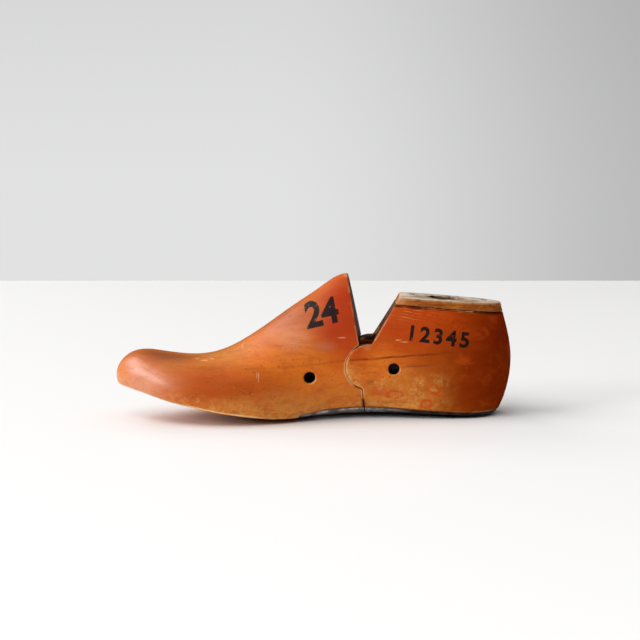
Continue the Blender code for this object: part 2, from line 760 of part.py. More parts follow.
def screw(name, x, y, axis):
    """A slotted countersunk wood screw."""
    thing = turned(name, screw_profile(0), SCREW_STEPS)
    half = SCREW_SLOT_WIDTH / 2
    outline = ((-half, -OVERRUN), (half, -OVERRUN), (half, SCREW_SLOT_DEPTH), (-half, SCREW_SLOT_DEPTH))
    combine(thing, [prism("screw_slot", outline, -OVERRUN, OVERRUN)], "DIFFERENCE")
    return finish(place_on_sole(thing, x, y), name, *STEEL_LOOK, axis)


def plate_end():
    """The X where the shank plate stops and the X where the heel plate starts."""
    x = stop_x(SOLE(SOCKET_FOOT[0]) + PLATE_THICKNESS)
    return x - PLATE_JOINT_GAP / 2, x + PLATE_JOINT_GAP / 2 + PLATE_THICKNESS * math.tan(STOP_LEAN)


def shank_screw_places():
    """Where the shank plate's screws stand."""
    end = plate_end()[0]
    return [screw_place(mix(SHANK_START, end, along), across) for along, across in SHANK_SCREW_SHARES]


def heel_screw_places():
    """Where the heel plate's screws stand."""
    start = plate_end()[1]
    end = place_x(HEEL_EDGE_SHARES[0])
    return [screw_place(mix(start, end, along), across) for along, across in HEEL_SCREW_SHARES]


def screw_place(x, across):
    """A place on the sole from X and a share of the way to the inner or outer feather edge."""
    edge = EDGES[0](x) if across < 0 else EDGES[4](x)
    return x, mix(sole_middle(x), edge, abs(across))


def nail_profile(clearance):
    """A nail with its head up at zero height, larger all round by a clearance."""
    head = NAIL_HEAD_RADIUS + clearance
    body = NAIL_RADIUS + clearance
    high = OVERRUN if clearance else 0
    low = -NAIL_HEAD_THICKNESS - clearance
    tip = -NAIL_LENGTH - clearance
    return ((0, tip), (body, tip), (body, low), (head, low), (head, high), (0, high))


def nail_places():
    """Where the cap's nails stand."""
    return [(place_x(along), place_y(across, place_x(along))) for along, across in NAIL_PLACE_SHARES]


def placed_on_cone(thing, x, y, depth):
    """Stands a turned piece square to the cap's top, at a depth under it."""
    turn = Matrix.Rotation(CONE_TILT, 4, "Y") @ Matrix.Translation((0, 0, -depth))
    thing.matrix_world = Matrix.Translation((x, y, cone_height(x))) @ turn
    return thing


def nail_hole(x, y):
    """The hole of one nail through cap and wood."""
    return placed_on_cone(turned("nail_hole", nail_profile(GAP), NAIL_STEPS), x, y, 0)


def thimble_depth():
    """How deep the thimble's top lies under the cap's top."""
    return (cone_height(JACK_X) - cap_foot_height(JACK_X)) + GAP + JACK_BORE / 2 * math.sin(CAP_TAPER)


JACK_X = place_x(JACK_PLACE_SHARES[0])
JACK_Y = place_y(JACK_PLACE_SHARES[1], JACK_X)


def jack_hole(bore):
    """The bore for the thimble, through the cap and down into the heel part."""
    depth = thimble_depth() + THIMBLE_LENGTH + GAP
    hole = turned("jack_hole", rod_profile(bore / 2, -depth, OVERRUN), THIMBLE_STEPS)
    return placed_on_cone(hole, JACK_X, JACK_Y, 0)


# The pieces
def make_forepart():
    """The front two thirds of the last: toe, ball and instep."""
    thing = add_mesh("forepart", *last_surface())
    end = plate_end()[0]
    stations = plate_stations(SHANK_START, end) + [end + NOSE_RADIUS]
    cutters = [
        heel_zone(),
        forepart_mortise(),
        pin_hole(FRONT_PIN),
        sole_slab("shank_rebate", stations, False, OVERRUN, -OVERRUN, PLATE_THICKNESS + GAP),
    ]
    cutters += [screw_hole(x, y) for x, y in shank_screw_places()]
    combine(thing, cutters, "DIFFERENCE")
    return finish(thing, "forepart", *WOOD_LOOK, None)


def make_heel_part(axis):
    """The heel part with its round nose, slotted for the link."""
    thing = add_mesh("heel_part", *last_surface())
    start = plate_end()[1]
    stations = [start - NOSE_RADIUS] + plate_stations(start, HEEL_FAN)
    cutters = [
        forepart_zone(),
        over_and_under("over_cap_foot", 0, 2 * LAST_HEIGHT),
        sole_slab("heel_seat", stations, True, OVERRUN, -OVERRUN, PLATE_THICKNESS + GAP),
        heel_slot(),
        pin_hole(REAR_PIN),
        jack_hole(JACK_BORE),
    ]
    cutters += [nail_hole(x, y) for x, y in nail_places()]
    cutters += [screw_hole(x, y) for x, y in heel_screw_places()]
    combine(thing, cutters, "DIFFERENCE")
    return finish(thing, "heel_part", *WOOD_LOOK, axis)


def make_cone_cap(axis):
    """The thin cap that is nailed on the heel part's top."""
    thing = add_mesh("cone_cap", *last_surface())
    cutters = [forepart_zone(), over_and_under("under_cap", GAP, -LAST_HEIGHT), jack_hole(CAP_BORE)]
    cutters += [nail_hole(x, y) for x, y in nail_places()]
    combine(thing, cutters, "DIFFERENCE")
    return finish(thing, "cone_cap", *CAP_LOOK, axis)


def make_cap_nails(axis):
    """The nails that hold the cap."""
    for number, (x, y) in enumerate(nail_places(), start=1):
        thing = placed_on_cone(turned("cap_nail", nail_profile(0), NAIL_STEPS), x, y, 0)
        finish(thing, f"cap_nail_{number}", *DARK_STEEL_LOOK, axis)


def make_thimble(axis):
    """The steel tube that lines the jack bore under the cap."""
    outer = JACK_BORE / 2 - GAP
    inner = THIMBLE_BORE / 2
    profile = ((inner, -THIMBLE_LENGTH), (outer, -THIMBLE_LENGTH), (outer, 0), (inner, 0))
    thing = turned("jack_thimble", profile, THIMBLE_STEPS, closed=True)
    placed_on_cone(thing, JACK_X, JACK_Y, thimble_depth())
    return finish(thing, "jack_thimble", *DARK_STEEL_LOOK, axis)


def make_shank_plate():
    """The bent steel plate under the rear of the forepart."""
    stations = plate_stations(SHANK_START, plate_end()[0])
    stations[0] += GAP
    thing = sole_slab("shank_plate", stations, False, 0, 0, PLATE_THICKNESS)
    combine(thing, [screw_hole(x, y) for x, y in shank_screw_places()], "DIFFERENCE")
    return finish(thing, "shank_plate", *STEEL_LOOK, None)


def make_heel_plate(axis):
    """The steel plate under the heel part."""
    stations = plate_stations(plate_end()[1], HEEL_FAN)
    thing = sole_slab("heel_plate", stations, True, 0, 0, PLATE_THICKNESS)
    combine(thing, [screw_hole(x, y) for x, y in heel_screw_places()], "DIFFERENCE")
    return finish(thing, "heel_plate", *STEEL_LOOK, axis)


def make_plate_screws(axis):
    """The screws of both plates."""
    for number, (x, y) in enumerate(shank_screw_places(), start=1):
        screw(f"shank_plate_screw_{number}", x, y, None)
    for number, (x, y) in enumerate(heel_screw_places(), start=1):
        screw(f"heel_plate_screw_{number}", x, y, axis)


def make_pins(axis):
    """The two cross pins, sunk in their holes."""
    front = cross_rod("front_hinge_pin", FRONT_PIN, PIN_RADIUS, PIN_LENGTH, PIN_STEPS)
    finish(front, "front_hinge_pin", *DARK_STEEL_LOOK, None)
    rear = cross_rod("rear_hinge_pin", REAR_PIN, PIN_RADIUS, PIN_LENGTH, PIN_STEPS)
    finish(rear, "rear_hinge_pin", *DARK_STEEL_LOOK, axis)


def link_place(thing, along):
    """Lays a piece whose length runs along its own Z on the line between the pins."""
    start = polar(FRONT_PIN, along, LINK_ANGLE)
    thing.location = (start[0], LINK_MIDDLE, start[1])
    thing.rotation_euler = (0, math.pi / 2 - LINK_ANGLE, 0)
    return thing


def make_draw_rod(axis):
    """The rod with its eye round the front pin."""
    thing = cross_rod("draw_rod", FRONT_PIN, EYE_RADIUS, EYE_WIDTH, LINK_STEPS)
    start = (PIN_HOLE_RADIUS + EYE_RADIUS) / 2
    stem = link_place(turned("stem", rod_profile(ROD_RADIUS, start, ROD_REACH), LINK_STEPS), 0)
    combine(thing, [stem], "UNION")
    combine(thing, [pin_hole(FRONT_PIN)], "DIFFERENCE")
    return finish(thing, "draw_rod", *DARK_STEEL_LOOK, axis)


def make_stirrup(axis):
    """The stirrup on the rear pin, whose crossbar the spring presses on."""
    place = Matrix.Translation((FRONT_PIN[0], LINK_MIDDLE, FRONT_PIN[1]))
    turn = place @ Matrix.Rotation(-LINK_ANGLE, 4, "Y")
    half = ARM_HEIGHT / 2
    eye = (LINK_LENGTH, 0)
    waist = math.asin(half / STIRRUP_EYE_RADIUS)
    outline = [(CROSSBAR_START, half), (CROSSBAR_START, -half)]
    outline += arc(eye, STIRRUP_EYE_RADIUS, -math.pi + waist, math.pi - waist, 4 * ARC_STEP)
    thing = prism("link_stirrup", outline, -STIRRUP_WIDTH / 2, STIRRUP_WIDTH / 2)
    inner = STIRRUP_WIDTH / 2 - ARM_THICKNESS
    start = CROSSBAR_START + CROSSBAR_THICKNESS
    end = LINK_LENGTH + OVERRUN
    outline = ((start, -OVERRUN), (end, -OVERRUN), (end, OVERRUN), (start, OVERRUN))
    room = prism("room", outline, -inner, inner)
    thing.matrix_world = turn
    room.matrix_world = turn
    bore = link_place(turned("bore", rod_profile(ROD_RADIUS + GAP, 0, start + ROD_RADIUS), LINK_STEPS), 0)
    combine(thing, [room, bore, pin_hole(REAR_PIN)], "DIFFERENCE")
    return finish(thing, "link_stirrup", *DARK_STEEL_LOOK, axis)


def spring_points():
    """The middle of the spring's wire, in the link's own frame with Z along the link."""
    start = CROSSBAR_START + CROSSBAR_THICKNESS + GAP + SPRING_WIRE / 2
    end = WASHER_START - GAP - SPRING_WIRE / 2
    count = SPRING_TURNS * SPRING_TURN_POINTS
    points = []
    for i in range(count + 1):
        angle = 2 * math.pi * i / SPRING_TURN_POINTS
        x, y = polar((0, 0), SPRING_RADIUS, angle)
        points.append((x, y, mix(start, end, i / count)))
    return points


def print_spring_gap(points):
    """Prints the least gap between one turn of the spring and the next."""
    least = math.inf
    for i, point in enumerate(points):
        for other in points[i + SPRING_TURN_POINTS // 2 :]:
            least = min(least, math.dist(point, other) - SPRING_WIRE)
    print(f"least gap of the spring to itself: {least * 1000:.2f} mm")


def make_spring(axis):
    """The coil spring between the stirrup's crossbar and the washer."""
    points = spring_points()
    print_spring_gap(points)
    path = bpy.data.curves.new("hinge_spring", "CURVE")
    path.dimensions = "3D"
    path.bevel_depth = SPRING_WIRE / 2
    path.bevel_resolution = 1
    path.use_fill_caps = True
    line = path.splines.new("POLY")
    line.points.add(len(points) - 1)
    for spot, point in zip(line.points, points):
        spot.co = (*point, 1)
    thing = bpy.data.objects.new("hinge_spring", path)
    bpy.context.scene.collection.objects.link(thing)
    return finish(link_place(thing, 0), "hinge_spring", *DARK_STEEL_LOOK, axis)


def make_rod_end(axis):
    """The washer and the nut at the rod's end."""
    bore = ROD_RADIUS + GAP
    end = WASHER_START + WASHER_THICKNESS
    ring = ((bore, WASHER_START), (WASHER_RADIUS, WASHER_START), (WASHER_RADIUS, end), (bore, end))
    washer = link_place(turned("spring_washer", ring, LINK_STEPS, closed=True), 0)
    finish(washer, "spring_washer", *STEEL_LOOK, axis)
    high = NUT_START + NUT_THICKNESS
    nut = link_place(turned("rod_nut", rod_profile(NUT_RADIUS, NUT_START, high), NUT_SIDES), 0)
    hole = link_place(turned("nut_hole", rod_profile(bore, 0, high + OVERRUN), LINK_STEPS), 0)
    combine(nut, [hole], "DIFFERENCE")
    return finish(nut, "rod_nut", *STEEL_LOOK, axis)


def main():
    """Builds the last."""
    clear_scene()
    heel_axis = axis_empty("heel_break_axis", JOINT)
    rod_axis = axis_empty("rod_swing_axis", FRONT_PIN)
    stirrup_axis = axis_empty("stirrup_swing_axis", REAR_PIN, heel_axis)
    make_forepart()
    make_heel_part(heel_axis)
    make_cone_cap(heel_axis)
    make_cap_nails(heel_axis)
    make_thimble(heel_axis)
    make_shank_plate()
    make_heel_plate(heel_axis)
    make_plate_screws(heel_axis)
    make_pins(heel_axis)
    make_draw_rod(rod_axis)
    make_spring(rod_axis)
    make_rod_end(rod_axis)
    make_stirrup(stirrup_axis)


main()
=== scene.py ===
"""A hinged wooden shoe last on a plain pale floor, in aged orange shellac with worn edges."""

import json
import math

import bmesh
import bpy
import numpy as np
from mathutils import Matrix, Vector, bvhtree, kdtree


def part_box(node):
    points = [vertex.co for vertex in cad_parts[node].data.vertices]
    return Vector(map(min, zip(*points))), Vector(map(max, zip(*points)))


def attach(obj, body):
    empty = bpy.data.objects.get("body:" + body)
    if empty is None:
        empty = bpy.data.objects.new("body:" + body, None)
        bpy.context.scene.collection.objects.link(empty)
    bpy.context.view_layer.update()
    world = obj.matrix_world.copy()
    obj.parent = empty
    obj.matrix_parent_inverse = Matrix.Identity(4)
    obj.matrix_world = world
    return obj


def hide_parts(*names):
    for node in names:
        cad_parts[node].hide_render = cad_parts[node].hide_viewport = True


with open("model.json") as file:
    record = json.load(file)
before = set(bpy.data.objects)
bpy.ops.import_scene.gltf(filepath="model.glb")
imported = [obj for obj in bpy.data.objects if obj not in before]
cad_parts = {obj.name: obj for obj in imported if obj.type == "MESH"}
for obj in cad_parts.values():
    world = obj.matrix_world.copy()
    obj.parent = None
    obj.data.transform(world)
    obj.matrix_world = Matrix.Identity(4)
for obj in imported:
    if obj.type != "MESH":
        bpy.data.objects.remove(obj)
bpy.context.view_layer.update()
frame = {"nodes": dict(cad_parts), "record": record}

MM = 0.001

# What the record says: the joint's place, and the body of each node
BEHAVIOUR = frame["record"]["behaviour"]
JOINT = next(joint["pos_m"] for joint in BEHAVIOUR["joints"] if joint["name"] == "heel_break")
NODE_BODY = {}
for body_name, members in BEHAVIOUR["bodies"].items():
    for member in members:
        NODE_BODY[member] = body_name

# Nodes by what they are made of. All others are of dark steel.
WOODEN_NODES = ("forepart", "heel_part", "cone_cap")
PLATE_NODES = ("shank_plate", "heel_plate")
BRIGHT_NODES = ("spring_washer", "rod_nut")

# The camera: its place in metres, its turns in degrees and its lens and sensor in millimetres
CAMERA_PLACE = (0.0471, -0.8966, 0.1639)
CAMERA_YAW = 2.82
CAMERA_PITCH = 6.92
CAMERA_ROLL = 0.27
CAMERA_LENS = 90.0
CAMERA_SENSOR = 36.0
CAMERA_NEAR = 0.01

# The lights: name, place and size in metres, power in watts, and whether shiny surfaces mirror them
LIGHTS = (
    ("window_light", (-3.2, -0.4, 3.2), (3.4, 2.4), 122.0, True),
    ("back_light", (-1.9, 2.9, 2.3), (2.0, 1.5), 30.0, False),
    ("side_light", (-3.1, -2.1, 1.5), (1.5, 1.2), 58.0, True),
    ("front_light", (-0.9, -2.4, 3.2), (2.0, 1.6), 36.0, False),
)
LIT_PLACE = (0, 0, 0.03)
LAMP_COLOUR = (1.0, 0.995, 0.985)

# The world as soft light, in reflections and to the camera: its colour, and the ramps whose product is its
# strength. A ramp has a direction, how far along it the ramp starts and ends, and its values there.
SOFT_SKY = ((1.0, 0.995, 0.99), (((-0.10, 0.10, 0.99), (0.0, 0.85, 0.05, 0.62)),))
MIRRORED_SKY = ((0.8, 0.8, 0.8), (((-0.80, 0.0, 0.60), (0.45, 0.95, 0.03, 0.45)),))
# The wall that the camera sees has painted shade: it darkens towards the right and towards the top.
SEEN_SKY = ((0.995, 0.995, 1.0), (
    ((1.0, 0.0, 0.0), (-0.09, 0.20, 0.765, 0.484)),
    ((0.0, 0.0, 1.0), (-0.06, 0.16, 1.0, 0.855)),
))

# The floor: its ends in metres, and its surface
FLOOR_X = (-2.5, 1.2)
FLOOR_Y = (-2.5, 0.80)
FLOOR_COLOUR = (0.87, 0.87, 0.87)
FLOOR_ROUGHNESS = 0.45
FLOOR_SPECULAR = 0.15

# Fine meshes: the size of their cells, how far from a sharp edge a surface is smoothed, and how often
WOOD_CELL = 0.5 * MM
CAP_CELL = 0.38 * MM
SHARP_EDGE = math.radians(32.0)
EDGE_STEP = 0.4 * MM
KEPT_NEAR_EDGE = 0.7 * MM
FREE_OF_EDGE = 4.0 * MM
FAIRING_WEIGHT = 0.6
FAIRING_ROUNDS = 90
ROUNDING_WEIGHT = 0.5
ROUNDING_ROUNDS = 2
WELD = 0.002 * MM

# How far wear reaches from the sharp edges, and up from the foot
WEAR_REACH = 1.6 * MM
FOOT_REACH = 18.0 * MM

# The cross pins' holes: how far and how far round their rims lose wear, how much of it, and the bores' skin
PIN_RIM = 4.6 * MM
PIN_RIM_SPREAD = 0.6
PIN_RIM_LOSS = 0.7
BORE_RADIUS = 3.15 * MM
BORE_SIDEWAYS = 0.55

# The round joint, and the rim along its arc, whose start, fade and height are shares of the nose's radius
NOSE_RADIUS = 12.6 * MM
NOSE_GAP = 0.35 * MM
NOSE_SKIN = 0.8 * MM
NOSE_SIDEWAYS = 0.6
RIM_REACH = 1.3 * MM
RIM_WIDTH = 0.60 * MM
RIM_ROUNDS = 3
RIM_STEP = 0.25 * MM
RIM_START = 0.55
RIM_FADE = 0.2
RIM_HEIGHT = 0.9

# The V's sawn faces: where they lie in metres, and the most that they face sideways and the least along
SAWN_X = (0.012, 0.05)
SAWN_Z = (0.0372, 0.0807)
SAWN_SIDEWAYS = 0.25
SAWN_ALONG = 0.45

# Plain pieces: the turn between faces that count as flat, and the bevel of their sharp edges
FLAT_TURN = 0.02
BEVEL = 0.1 * MM

# Colours of the wood and its shellac. A pair of colours is two shades that a noise mixes.
SHELLAC = ((0.58, 0.115, 0.009), (0.70, 0.180, 0.018))
GRAIN = (0.30, 0.045, 0.005)
FINE_GRAIN = (0.26, 0.038, 0.004)
RING = (0.55, 0.060, 0.006)
FEATHER_LINE = (0.95, 0.60, 0.27)
# Painted shade: dark sawn faces in the V and the dark turned face of the joint.
SAWN_PAINTED_SHADE = ((0.050, 0.024, 0.014), (0.13, 0.072, 0.040))
# Painted shade: near black on the walls of the cross pins' bores.
BORE_PAINTED_SHADE = (0.012, 0.006, 0.004)
INK = (0.010, 0.008, 0.008)

# Marks on the wood: share and colour. Those marked below are painted shade and painted light.
STAIN = (0.40, (0.48, 0.065, 0.006))
WORN_FOOT = (0.55, (0.78, 0.42, 0.105))
WORN_SIDE = (0.55, (0.80, 0.46, 0.15))
LONG_STREAK = (0.75, (0.12, 0.018, 0.005))
SHORT_STREAK = (0.45, (0.16, 0.030, 0.008))
PALE_STREAK = (0.45, (0.72, 0.34, 0.10))
PIT = (0.55, (0.12, 0.030, 0.010))
FLECK = (0.55, (0.78, 0.45, 0.17))
SCRATCH = (0.42, (0.80, 0.52, 0.28))
WORN_EDGE = (0.75, (0.76, 0.46, 0.19))
# Painted shade: a dark band where the wood curves under at the waist.
WAIST_PAINTED_SHADE = (0.85, (0.10, 0.022, 0.004))
CRACK = (0.85, (0.04, 0.010, 0.004))
# Partly pale worn wood and partly painted light over the shade inside the joint's gap.
JOINT_RIM_AND_PAINTED_LIGHT = (0.9, (0.84, 0.46, 0.19))
# Painted shade: near black in the spring's slot.
SLOT_PAINTED_SHADE = (0.92, (0.010, 0.006, 0.005))
SCUFF = (0.35, (0.50, 0.27, 0.11))

# Colours of the cap, and its marks
CAP_SIDE = ((0.20, 0.042, 0.003), (0.46, 0.135, 0.011))
CAP_BARE = ((0.38, 0.28, 0.21), (0.68, 0.57, 0.47))
CAP_STREAK = (0.20, 0.12, 0.07)
# Painted shade: dark in the cap's bore.
CAP_BORE_PAINTED_SHADE = (0.030, 0.016, 0.011)
CAP_GRIME = (0.6, (0.12, 0.07, 0.045))
CAP_EDGE = (0.65, (0.62, 0.44, 0.27))
CAP_CORNER = (0.4, (0.62, 0.38, 0.20))

# Colours of the steel, the last two with dark blotches and a roughness, and how much brighter scratches are
# Partly aged steel and partly painted shade: the plate is nearly black so that its edge reads as a dark band.
PLATE_AND_PAINTED_SHADE = ((0.012, 0.010, 0.009), (0.055, 0.045, 0.038))
# Partly rubbed steel and partly a painted reflection: bright blotches under the waist.
RUBBED_AND_PAINTED_REFLECTION = ((0.16, 0.150, 0.14), (0.74, 0.72, 0.70))
BRIGHT_STEEL = ((0.34, 0.32, 0.30), (0.11, 0.10, 0.09), 0.40)
DARK_STEEL = ((0.07, 0.06, 0.055), (0.02, 0.018, 0.016), 0.45)
SCRATCHED_BRIGHTER = 1.6

# Roughness, as a pair where a noise mixes it, and what bare wood, ink and dark blotches add to it
WOOD_ROUGHNESS = (0.36, 0.50)
BARE_ROUGHER = 0.2
INK_ROUGHER = 0.1
CAP_ROUGHNESS = 0.6
PLATE_ROUGHNESS = (0.55, 0.40)
STEEL_ROUGHER = 0.15

# How glossy and how metallic the surfaces are, and how deep their relief is
CAP_SPECULAR = 0.12
PLATE_METALLIC = 0.85
STEEL_METALLIC = 0.9
GRAIN_DEPTH = 0.04 * MM
SPECKLE_DEPTH = 0.03 * MM
PIT_DEPTH = 0.15 * MM
CAP_GRAIN_DEPTH = 0.10 * MM
BLOTCH_DEPTH = 0.03 * MM

# Fades along the last: where they start and end in mm, and their values there if those aren't 0 and 1
FOOT_TO_HEEL = (88, 50)
FOOT_TO_TOE = (-92, -52, 0.1, 1.0)
STREAK_FROM = (-45, -15)
STREAK_FAINT = (12, 27, 0.28, 1.0)
STREAK_TO = (90, 55)
CRACK_FROM = (44, 46)
WAIST_SHADE_FROM = (-2, 10)
WAIST_SHADE_TO = (94, 62, 0.25, 1.0)
FEATHER_TO = (-20, -40)
GLOSS_FADE = (45, 85, 0.15, 0.0)

# Places of single marks: middle and radii in mm
SHORT_STREAK_PLACE = ((58, -14, 29.2), (9, 30, 6))
PALE_STREAK_PLACE = ((54, -6, 60.0), (12, 30, 3.6))
WORN_SIDE_PLACE = ((52, -12, 18), (20, 30, 9))
DENTED_TOE = ((-88, -24, 27), (18, 26, 11))
V_EDGES = ((32, -10, 58), (22, 30, 19))
# Where the painted shade in the spring's slot lies.
SLOT_SHADE_PLACE = ((31, 4.4, 43.2), (8, 17.4, 3.6))
SCUFF_PLACE = ((29.6, -17.5, 41.6), (3.0, 4.0, 1.9))
GRIME_PLACE = ((74, 8, 64), (14, 10, 9))
CAP_BORE_PLACE = ((72.5, 12.2, 62), (9.2, 9.2, 30))
CAP_CORNER_PLACE = ((47.5, -4, 66.8), (3.5, 8, 2.6))
# Where the rubbed steel and its painted reflection lie.
RUBBED_AND_REFLECTION_PLACE = ((20, -14, 3), (26, 30, 12))

# Lines across the wood: their slopes, how far they wander, their heights at X 0 and their half widths
STREAK_SLOPE = -0.066
STREAK_WANDER = 3.0 * MM
LONG_STREAK_LINE = (33.1 * MM, 0.55 * MM)
SHORT_STREAK_LINE = (27.2 * MM, 0.45 * MM)
PALE_STREAK_SLOPE = 0.15
PALE_STREAK_WANDER = 4.0 * MM
PALE_STREAK_PITCH = 1.7 * MM
CAP_SLOPE = 0.0928
CRACK_LEVEL = 67.75 * MM
CRACK_WIDTH = (0.9 * MM, 0.3 * MM)
CAP_EDGE_LEVELS = (69.0 * MM, 71.5 * MM)
FEATHER_LEVELS = (14 * MM, 10 * MM)

# Shades in the shellac of both wooden parts: colour, middle and radii in mm, share, soft rim, ragged rim. The
# rows marked below are painted highlights and painted shade.
ZONES = (
    ((0.70, 0.165, 0.011), (22, -15, 21.2), (66, 90, 20), 0.60, 0.6, 0.8),
    ((0.50, 0.185, 0.035), (-62, -14, 37.2), (26, 30, 8), 0.75, 0.6, 1.0),
    ((0.37, 0.056, 0.006), (-52, -28, 21.8), (34, 30, 10.5), 0.87, 0.6, 0.8),
    # Painted highlight: a pale pinkish sheen on the toe's side.
    ((0.88, 0.430, 0.250), (-99, -26, 20), (13, 20, 7), 0.80, 0.6, 0.8),
    # Painted highlight: a bright sheen on the toe's tip.
    ((1.00, 0.400, 0.100), (-109, -14, 23.5), (7, 20, 10), 0.90, 0.6, 0.6),
    ((0.38, 0.085, 0.018), (-14, -6, 62), (24, 30, 11), 0.66, 0.6, 0.8),
    # Painted highlight: a pale pinkish sheen beside the instep's number.
    ((0.72, 0.270, 0.120), (-11, -18, 47.5), (8, 20, 6), 0.52, 0.7, 0.8),
    ((0.40, 0.105, 0.045), (14, -4, 70), (9, 20, 8), 0.60, 0.6, 0.8),
    ((0.44, 0.030, 0.003), (20, 0, 57), (17, 60, 24), 0.90, 0.5, 0.6),
    ((0.56, 0.130, 0.014), (-96, -20, 25.2), (24, 60, 16), 0.75, 0.6, 0.8),
    ((0.42, 0.038, 0.002), (80, 0, 54.2), (52, 90, 21), 0.88, 0.40, 0.5),
    ((0.33, 0.062, 0.004), (73, 0, 23.2), (24, 60, 22), 0.66, 0.6, 0.8),
    ((0.58, 0.170, 0.014), (50, -10, 14.2), (25, 30, 12), 0.62, 0.4, 1.0),
    ((0.70, 0.220, 0.022), (14, -18, 11.2), (24, 30, 9), 0.50, 0.5, 1.0),
    ((0.64, 0.250, 0.040), (-28, -30, 9), (34, 20, 8), 0.50, 0.6, 1.0),
    # Partly darker red-brown wood and partly painted shade on the heel's back, which faces away from the
    # light.
    ((0.15, 0.012, 0.001), (122, 0, 27.2), (44, 90, 60), 0.92, 0.60, 0.3),
    # Partly darker wood and partly painted shade on the heel's right side.
    ((0.21, 0.018, 0.001), (93, -6, 22.2), (17, 30, 19), 0.62, 0.6, 0.8),
    ((0.22, 0.060, 0.025), (-82, -18, 36.7), (16, 9, 3.4), 0.55, 0.7, 0.8),
    ((0.40, 0.150, 0.100), (6, -19, 42.2), (6, 8, 2.5), 0.30, 0.7, 1.0),
    ((0.12, 0.035, 0.014), (31.5, -16, 22.2), (2.4, 5, 1.8), 0.40, 0.6, 1.5),
    ((0.56, 0.060, 0.006), (36, -14, 16.7), (5, 8, 2.4), 0.55, 0.5, 1.2),
    ((0.70, 0.420, 0.190), (18.5, 0, 81), (3, 20, 1.6), 0.60, 0.6, 2.0),
)

# Where hands and leather polished the shellac: middle and radii in mm, and share; and how glossy it is there
POLISHED = (
    ((-94, -26, 27.2), (20, 34, 13), 1.0),
    ((-19, -10, 50), (28, 26, 13), 0.75),
)
POLISH_SOFT = 0.8
POLISH_GLOSS = 0.5
POLISH_COAT = 1.0
COAT_ROUGHNESS = 0.34
INK_GLOSS = 0.3

# Reddish rings that wet things left on the heel: middle and radii in mm, endless through it, and share
RINGS = (
    ((67.6, 0, 17.6), (3.0, math.inf, 2.6), 0.90),
    ((45.0, 0, 14.6), (4.6, math.inf, 2.0), 0.85),
    ((62.9, 0, 9), (2.7, math.inf, 2.4), 0.85),
)

# Pale scratches through the shellac: middle and radii in mm
SCRATCHES = (
    ((-39.7, -15.4, 42.3), (0.22, 4, 1.9)),
    ((-29.3, -32.9, 27), (0.26, 4, 2.8)),
    ((-30.3, -32.9, 28.7), (0.20, 4, 2.0)),
    ((-60.5, -21.0, 34.7), (2.2, 4, 0.30)),
    ((-56.5, -18.0, 35.5), (1.4, 4, 0.25)),
    ((-65.0, -18.0, 35.2), (1.2, 4, 0.22)),
    ((15.4, -16.1, 47), (1.7, 4, 0.26)),
    ((47.2, -11.9, 45.2), (1.8, 4, 0.30)),
    ((51.0, -11.8, 44.1), (1.6, 4, 0.26)),
    ((49.0, -11.8, 44.2), (1.2, 4, 0.22)),
)

# Plain numbers in ink: name, what they say, middle across X and Z, height in mm, turn and spacing
INK_MARKS = (
    ("forepart_number", "24", (4.5, 59.7), 13.0, 12.0, 1.0),
    ("heel_numbers", "12345", (69.4, 46.4), 7.9, -8.0, 1.32),
)
DIGIT_SHARE = 0.7
INK_STEP = 0.8 * MM
INK_REACH = 20 * MM
INK_LIFT = 0.03 * MM
INK_BOLD = 0.035
INK_START = -1.0


# Nodes
class Nodes:
    """Short calls for the nodes of a tree."""

    def __init__(self, tree):
        self.tree = tree

    def node(self, kind, *inputs, **settings):
        """A node with its settings, and its inputs as values or as other nodes' outputs."""
        made = self.tree.nodes.new(kind)
        for name, value in settings.items():
            setattr(made, name, value)
        for slot, value in enumerate(inputs):
            self.feed(made.inputs[slot], value)
        return made

    def feed(self, slot, value):
        """Sets an input to a value or links it to an output."""
        if isinstance(value, bpy.types.NodeSocket):
            self.tree.links.new(value, slot)
        elif hasattr(slot.default_value, "__len__") and not hasattr(value, "__len__"):
            slot.default_value = [value] * len(slot.default_value)
        elif hasattr(value, "__len__") and len(value) < len(slot.default_value):
            slot.default_value = (*value, 1)
        else:
            slot.default_value = value

    def math(self, operation, *inputs):
        """The result of a math node."""
        return self.node("ShaderNodeMath", *inputs, operation=operation).outputs[0]

    def times(self, first, *others):
        """The product of some values."""
        for other in others:
            first = self.math("MULTIPLY", first, other)
        return first

    def rise(self, value, low, high, out_low=0.0, out_high=1.0):
        """A smooth step from one value to another between two limits."""
        made = self.node("ShaderNodeMapRange", value, low, high, out_low, out_high)
        made.interpolation_type = "SMOOTHSTEP"
        return made.outputs[0]


